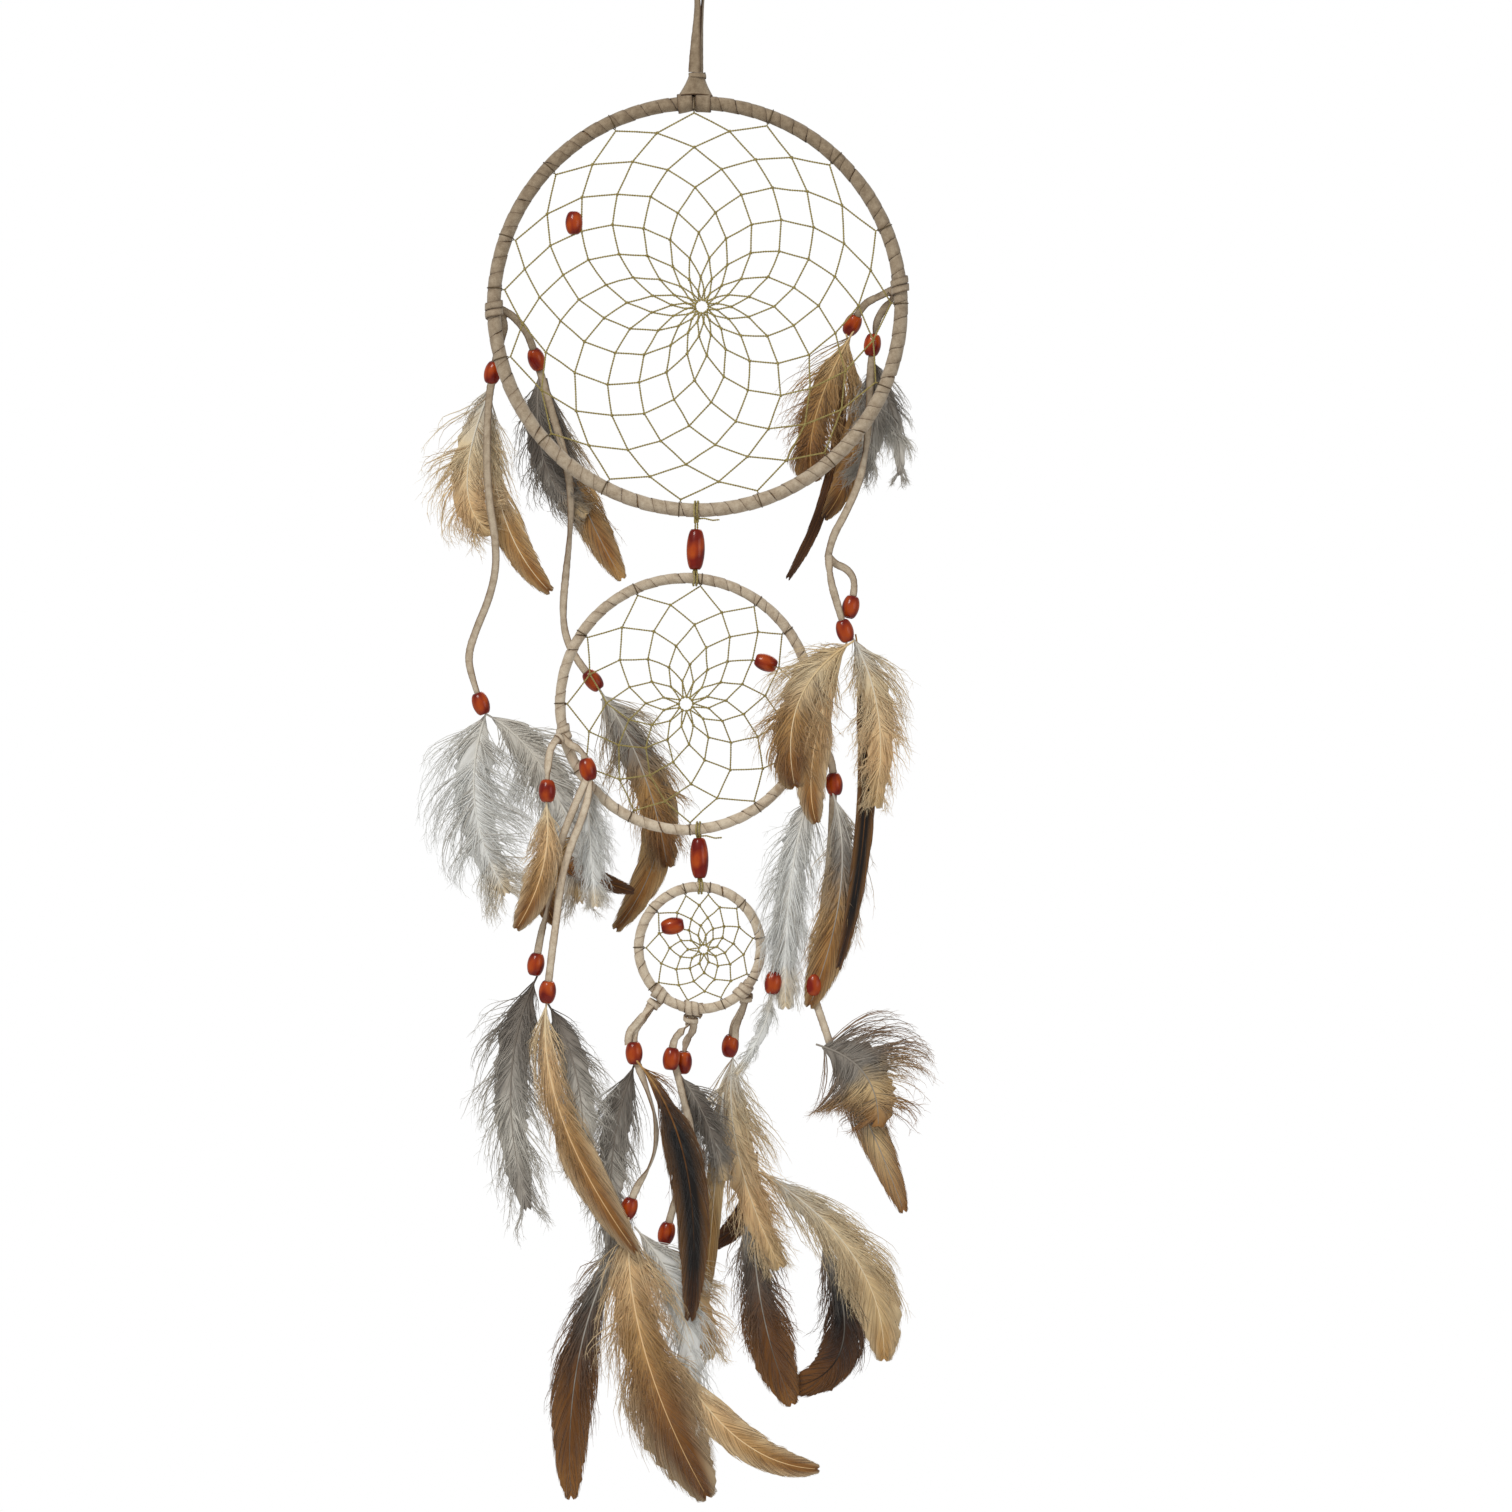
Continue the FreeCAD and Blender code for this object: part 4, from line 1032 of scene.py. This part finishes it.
def link(name, upper, lower, top_x, bottom_x, rng):
    """Doubled thread round two hoops, bound at each end and cut to a tail, with a long bead over it."""
    soup = Soup()
    reaches, middles = [], []
    for hoop, x, side in ((upper, top_x, -1), (lower, bottom_x, 1)):
        h = HOOPS[hoop]
        drop = math.sqrt(h["line"] ** 2 - (x - h["centre"][0]) ** 2)
        reaches.append(h["tube"] + LINK_CLEAR)
        middles.append(np.array([x, 0, h["centre"][1] + side * drop]))
    way = unit(middles[1] - middles[0])
    start, stop = middles[0] + way * reaches[0], middles[1] - way * reaches[1]
    turn = np.linspace(0, 2 * math.pi, 40)
    for reach, middle, slant in zip(reaches, middles, (0.5, -0.5)):
        for shift in (-0.75, 0.75):
            across = shift + slant * np.sin(turn)
            circle = middle + np.stack([across, reach * np.sin(turn), reach * np.cos(turn)], 1)
            twisted(soup, circle * MM, LINK_THREAD, rng, start=(1, 0, 0))
    for shift in (-0.6, 0.6):
        strand = np.linspace(start, stop, 12) + np.array([shift, 0, 0]) + rng.normal(0, 0.06, (12, 3))
        twisted(soup, strand * MM, LINK_THREAD, rng)
    for number in range(3):
        knot(soup, (start - way * 0.4 + way * number * 0.9) * MM, way, rng, 1.6)
        knot(soup, (stop + way * 0.2 - way * number * 0.8) * MM, way, rng, 1.5)
    tail = start + np.array([[0, 0, 0], [4, -1.6, 0.3], [8.5, -4.2, -0.9], [12, -5.6, -0.6]])
    smooth = np.stack([np.interp(np.linspace(0, 3, 24), range(4), tail[:, k]) for k in range(3)], 1)
    twisted(soup, smooth * MM, 0.5, rng)
    soup.finish(f"{name}_cord", THREAD, name, "thread", f"{name}_thread")
    middle = stop - way * (LONG_BEAD[0] / 2 + 0.9)
    barrel_bead(f"{name}_long_bead", middle, way, name, f"{name}_bead", *LONG_BEAD)


rng = np.random.default_rng(21)
link("upper_link", "large", "medium", -0.4, -1.3, rng)
link("lower_link", "medium", "small", 0.6, 1.4, rng)


# ---------------------------------------------------------------- the knot above the large hoop
def top_knot(rng):
    """The lace drawn round itself into a hood: flat turns that widen downwards."""
    soup = Soup()
    rows, columns = 26, 56
    t = np.linspace(0, 1, rows)[:, None]
    turn = np.linspace(0, 2 * math.pi, columns, endpoint=False)[None]
    fold = 0.25 * np.sin(turn * 3 + 1) * t + 0.12 * np.sin(turn * 7)
    x = (3.9 + 5.5 * t ** 1.5 + fold) * np.cos(turn)
    y = (3.4 + 0.4 * t + fold) * np.sin(turn)
    z = -78.2 - 11.6 * t - 0.6 * (np.cos(turn) ** 2) * t ** 2
    outside = np.stack([x - 0.4 - 0.9 * t, y, z], -1)
    inside = outside[::-1] * (0.86, 0.82, 1) + (0, 0, 0.35)
    edge = np.repeat(np.r_[np.zeros(rows - 2), 1, 1, 1, np.zeros(rows - 1)], columns)
    soup.grid(np.concatenate([outside, inside]) * MM, True, rows // 2, edge=edge)
    turn = np.linspace(0.4, 7.4, 60)
    line = np.stack([4.3 * np.cos(turn), 3.7 * np.sin(turn), -78.6 - np.linspace(0, 1.4, 60)], 1) * MM
    ribbon(soup, line, 0, rng, line * (1, 1, 0), scale=0.62)
    soup.finish("top_knot_hood", SUEDE, "top_knot", "suede", "top_knot")


top_knot(np.random.default_rng(31))


# ---------------------------------------------------------------- feathers
DEPTH_AXIS = np.array([0, 1.0, 0])
QUILL_LEAD = 4.5      # how far a quill runs up into its bead
STRAND = 0.07         # the thickness of a barb or a strand of down
STRAND_POINTS = 8
WISPS = 4             # short wisps on each strand of down
LEAF = 0.12           # the thickness of the matted leaf


def outline(t, half):
    """Half the feather's width along its quill, blunt at the tip."""
    t = np.clip(t, 0, 1)
    return 0.6 + half * (1 - np.exp(-t / 0.13)) * np.sqrt(1 - t ** 3)


class Feather:
    """One feather: a quill, a thin leaf of matted barbs, then barbs and down over and under the leaf."""

    def __init__(self, design, rng):
        root, bend, tip, self.half, depth, self.palette, self.down, *strands = design
        self.down_strands, self.vane_strands = strands
        self.root, self.bend, self.tip = (np.array([p[0], depth, p[1]], float) for p in (root, bend, tip))
        self.size = np.linalg.norm(self.bend - self.root) / 2 + np.linalg.norm(self.tip - self.bend) / 2
        self.fine = min(1.0, self.half / 12)
        self.over = 0.02 if self.vane_strands else 0.1 + 0.012 * self.half
        self.rng = rng
        self.bow = rng.uniform(-1.2, 1.2)
        self.soup = Soup()

    def quill(self, t):
        """A point on the quill's line; before the root and past the tip the line runs straight on."""
        t = np.asarray(t, float)[..., None]
        held = np.clip(t, 0, 1)
        at = (1 - held) ** 2 * self.root + 2 * held * (1 - held) * self.bend + held ** 2 * self.tip
        at = at + DEPTH_AXIS * self.bow * np.sin(math.pi * held)
        before = np.minimum(t, 0) * self.size * unit(self.bend - self.root)
        return at + before + np.clip(t - 1, 0, self.over) * self.size * unit(self.tip - self.bend)

    def place(self, t, w, y):
        """A point at t along the quill, w to its side and y behind it."""
        held = np.clip(np.asarray(t, float), 0, 1)[..., None]
        slope = unit(2 * (1 - held) * (self.bend - self.root) + 2 * held * (self.tip - self.bend))
        across = np.cross(slope, DEPTH_AXIS)
        return (self.quill(t) + across * w[..., None] + DEPTH_AXIS * y[..., None]) * MM

    def rim(self, t, w):
        """How near a point lies to the feather's outline, from 0 at the quill to 1."""
        return np.clip(np.abs(w) / (0.9 * outline(t, self.half)), 0, 1)

    def stem(self):
        t = np.linspace(-QUILL_LEAD / self.size, 0.97, 40)
        line = self.quill(t)[None] * MM
        wide, deep = side_frames(line)
        stout = (0.5 * (1 - np.clip(t, 0, 1)) ** 0.8 + 0.1)[None] * MM * min(1, self.half / 9 + 0.35)
        self.soup.strands(line, wide, deep, stout, stout, 6, along=np.clip(t * 0.4, 0, 1)[None], shade=0.9)

    def leaf(self):
        """The mat of barbs, narrow and torn where they are down and nearly as wide as the outline above."""
        rows, columns = max(30, int(self.size * 0.9)), 9
        rng = self.rng
        t = np.linspace(0.0, 0.985, rows)[:, None]
        c = np.linspace(-1, 1, columns)[None]
        vane = np.clip((t - self.down + 0.12) / 0.12, 0, 1)
        sweep = np.minimum(0.16 + 0.06 * vane, 0.95 * (1 - t))
        tear = rng.normal(0, 1, (rows, 2)) * 0.05
        fill = 0.46 + 0.44 * vane + np.where(c < 0, tear[:, :1], tear[:, 1:])
        w = c * outline(t + sweep, self.half) * fill
        at = t + sweep * np.abs(c)
        y = 0.9 * self.half / 12 * np.abs(c) ** 1.4 + rng.normal(0, 0.16, (rows, columns)) * np.abs(c)
        shell = np.concatenate([self.place(at, w, y), self.place(at, w, y + LEAF)[:, ::-1]], 1)
        along, edge = (np.concatenate([v, v[:, ::-1]], 1).ravel() for v in (at, self.rim(at, w)))
        shade = np.repeat(rng.uniform(0.25, 0.75, rows), 2 * columns)
        self.soup.grid(shell, False, along=along, edge=edge, shade=shade)

    def barbs(self, t0, side, reach, width, lift, wave, turns, thick, flare, taper):
        """Strands that leave the quill at t0 and end further along it and out to the side."""
        count = len(t0)
        u = np.linspace(0, 1, STRAND_POINTS)[None]
        phase = self.rng.uniform(0, 2 * math.pi, (2, count, 1))
        ripple = wave[:, None] * u * np.sin(2 * math.pi * turns[:, None] * u + phase[0])
        t = t0[:, None] + reach[:, None] * u + ripple * 0.4 / self.size
        w = side[:, None] * width[:, None] * np.sin(u * math.pi / 2) ** flare + ripple
        y = lift[:, None] * u ** 1.3 + 0.8 * wave[:, None] * u * np.sin(5 * turns[:, None] * u + phase[1])
        path = self.place(t, w, y)
        wide, deep = side_frames(path)
        shape = ((1 - u ** taper) * 0.88 + 0.12) * MM * np.ones((count, 1))
        thin = STRAND * (0.4 * MM + 0.6 * shape)
        along, edge = t0[:, None] + reach[:, None] * 0.8 * u, self.rim(t, w)
        shade = self.rng.uniform(0, 1, (count, 1))
        stout = thick[:, None] * shape
        self.soup.strands(path, wide, deep, stout, thin, 3, along=along, shade=shade, edge=edge)
        return path, t, edge

    def vane(self):
        """Close barbs on both sides of the quill, parted here and there where the vane has split."""
        rng, count = self.rng, self.vane_strands
        start = max(0.0, self.down - 0.14)
        spacing = self.size * (1.0 - start) / count
        even = np.ones(count)
        for side in (-1.0, 1.0):
            t0 = np.sort(np.linspace(start, 0.97, count) + rng.normal(0, 0.002, count))
            split = np.cumsum(rng.random(count) < 0.07)
            offset = rng.normal(0, 0.016, split.max() + 1)[split]
            lean = rng.normal(0, 0.3, split.max() + 1)[split]
            reach = 0.21 + 0.07 * (1 - t0) + offset + rng.normal(0, 0.004, count)
            reach = np.minimum(reach, 0.96 * (1.0 - t0))
            width = outline(t0 + reach * 0.97, self.half) * (0.98 + offset * 2.5)
            width = width * rng.uniform(0.94, 1.03, count)
            lift = lean + 0.9 * self.half / 12 - 0.15
            thick = even * max(0.2, spacing * 0.7)
            self.barbs(t0, even * side, reach, width, lift, even * 0.1, even, thick, 0.95, 5.0)

    def fluff(self):
        """Tufts of down along the quill's lower part."""
        rng, count = self.rng, int(self.down_strands * 1.13)
        tufts = max(6, count // 5)
        tuft = rng.integers(0, tufts, count)
        high = max(0.12, min(self.down, 0.93))
        t0 = np.clip(rng.uniform(-0.01, high, tufts)[tuft] + rng.normal(0, 0.014, count), -0.01, high)
        reach = rng.uniform(0.16, 0.46, tufts)[tuft] * rng.uniform(0.75, 1.2, count)
        reach = np.minimum(reach * (1 - 0.4 * np.clip(t0, 0, 1)), 0.98 * (1 + self.over - t0))
        spread = rng.uniform(0.3, 1.05, tufts)[tuft] * rng.uniform(0.75, 1.2, count)
        spread = spread * np.where(rng.random(count) < 0.12, 1.25, 1.0)
        if not self.vane_strands:
            spread = np.minimum(spread * (0.86 + 0.02 * self.half), 1.4)
        width = outline(np.minimum(t0 + reach * 0.8, 0.9), self.half) * spread
        lift = rng.normal(0, 1.7, tufts)[tuft] * (0.4 + 0.6 * self.fine) + rng.normal(0, 0.6, count)
        wave, turns = rng.uniform(0.3, 1.3, count) * self.fine, rng.uniform(0.6, 1.9, count)
        thick = rng.uniform(0.16, 0.42, count) * (0.5 + 0.5 * self.fine)
        side = np.where(tuft % 2, 1.0, -1.0)
        self.wisps(*self.barbs(t0, side, reach, width, lift, wave, turns, thick, 1.15, 1.6))

    def wisps(self, path, t, edge):
        """Short wisps that leave each strand of down on both sides."""
        rng = self.rng
        strand = np.repeat(np.arange(len(path)), WISPS)
        count = len(strand)
        spot = rng.uniform(0.25, 0.97, count) * (STRAND_POINTS - 1)
        whole = np.minimum(spot.astype(int), STRAND_POINTS - 2)
        part = (spot - whole)[:, None]
        base = path[strand, whole] * (1 - part) + path[strand, whole + 1] * part
        along = unit(path[strand, whole + 1] - path[strand, whole])
        sign = rng.choice([-1.0, 1.0], (count, 1))
        out = unit(np.cross(along, DEPTH_AXIS) * sign + rng.normal(0, 0.3, (count, 3)))
        long = rng.uniform(1.5, 4.6, (count, 1, 1)) * self.fine * MM
        u = np.linspace(0, 1, 3)[None, :, None]
        line = base[:, None] + long * (along[:, None] * u * 1.1 + out[:, None] * u ** 0.8 * 0.6)
        wide, deep = side_frames(line)
        fine = rng.uniform(0.07, 0.12, (count, 1)) * (1 - 0.75 * u[..., 0]) * MM
        level, rim = (values[strand, whole][:, None] for values in (t, edge))
        shade = rng.uniform(0.2, 1, (count, 1))
        self.soup.strands(line, wide, deep, fine, fine * 0.7, 3, along=level, edge=rim, shade=shade)


for name, designs in FEATHERS.items():
    for number, design in enumerate(designs):
        feather = Feather(design, np.random.default_rng(1000 + sum(map(ord, name)) + number))
        feather.stem()
        feather.leaf()
        if feather.vane_strands:
            feather.vane()
        if feather.down_strands:
            feather.fluff()
        feather.soup.finish(
            f"{name}_feather_{number + 1}", PLUMAGE[feather.palette], name, "feather", f"{name}_feathers",
        )


# ---------------------------------------------------------------- floor
FLOOR_RADIUS, FLOOR_SIDES, FLOOR_HEIGHT = 1.2, 96, -1.3
floor_mesh = bpy.data.meshes.new("floor")
turns = np.linspace(0, 2 * math.pi, FLOOR_SIDES, endpoint=False)
spots = [(FLOOR_RADIUS * math.cos(a), FLOOR_RADIUS * math.sin(a), FLOOR_HEIGHT) for a in turns]
floor_mesh.from_pydata(spots, [], [list(range(FLOOR_SIDES))])
floor_shader = Shader("floor", 0.8)
floor_tones = tones((0.3, 236, 235, 232), (0.7, 242, 241, 238))
floor_shader.colour(floor_shader.ramp(floor_shader.noise(3), floor_tones))
floor_mesh.materials.append(floor_shader.material)
floor = bpy.data.objects.new("floor", floor_mesh)
scene.collection.objects.link(floor)
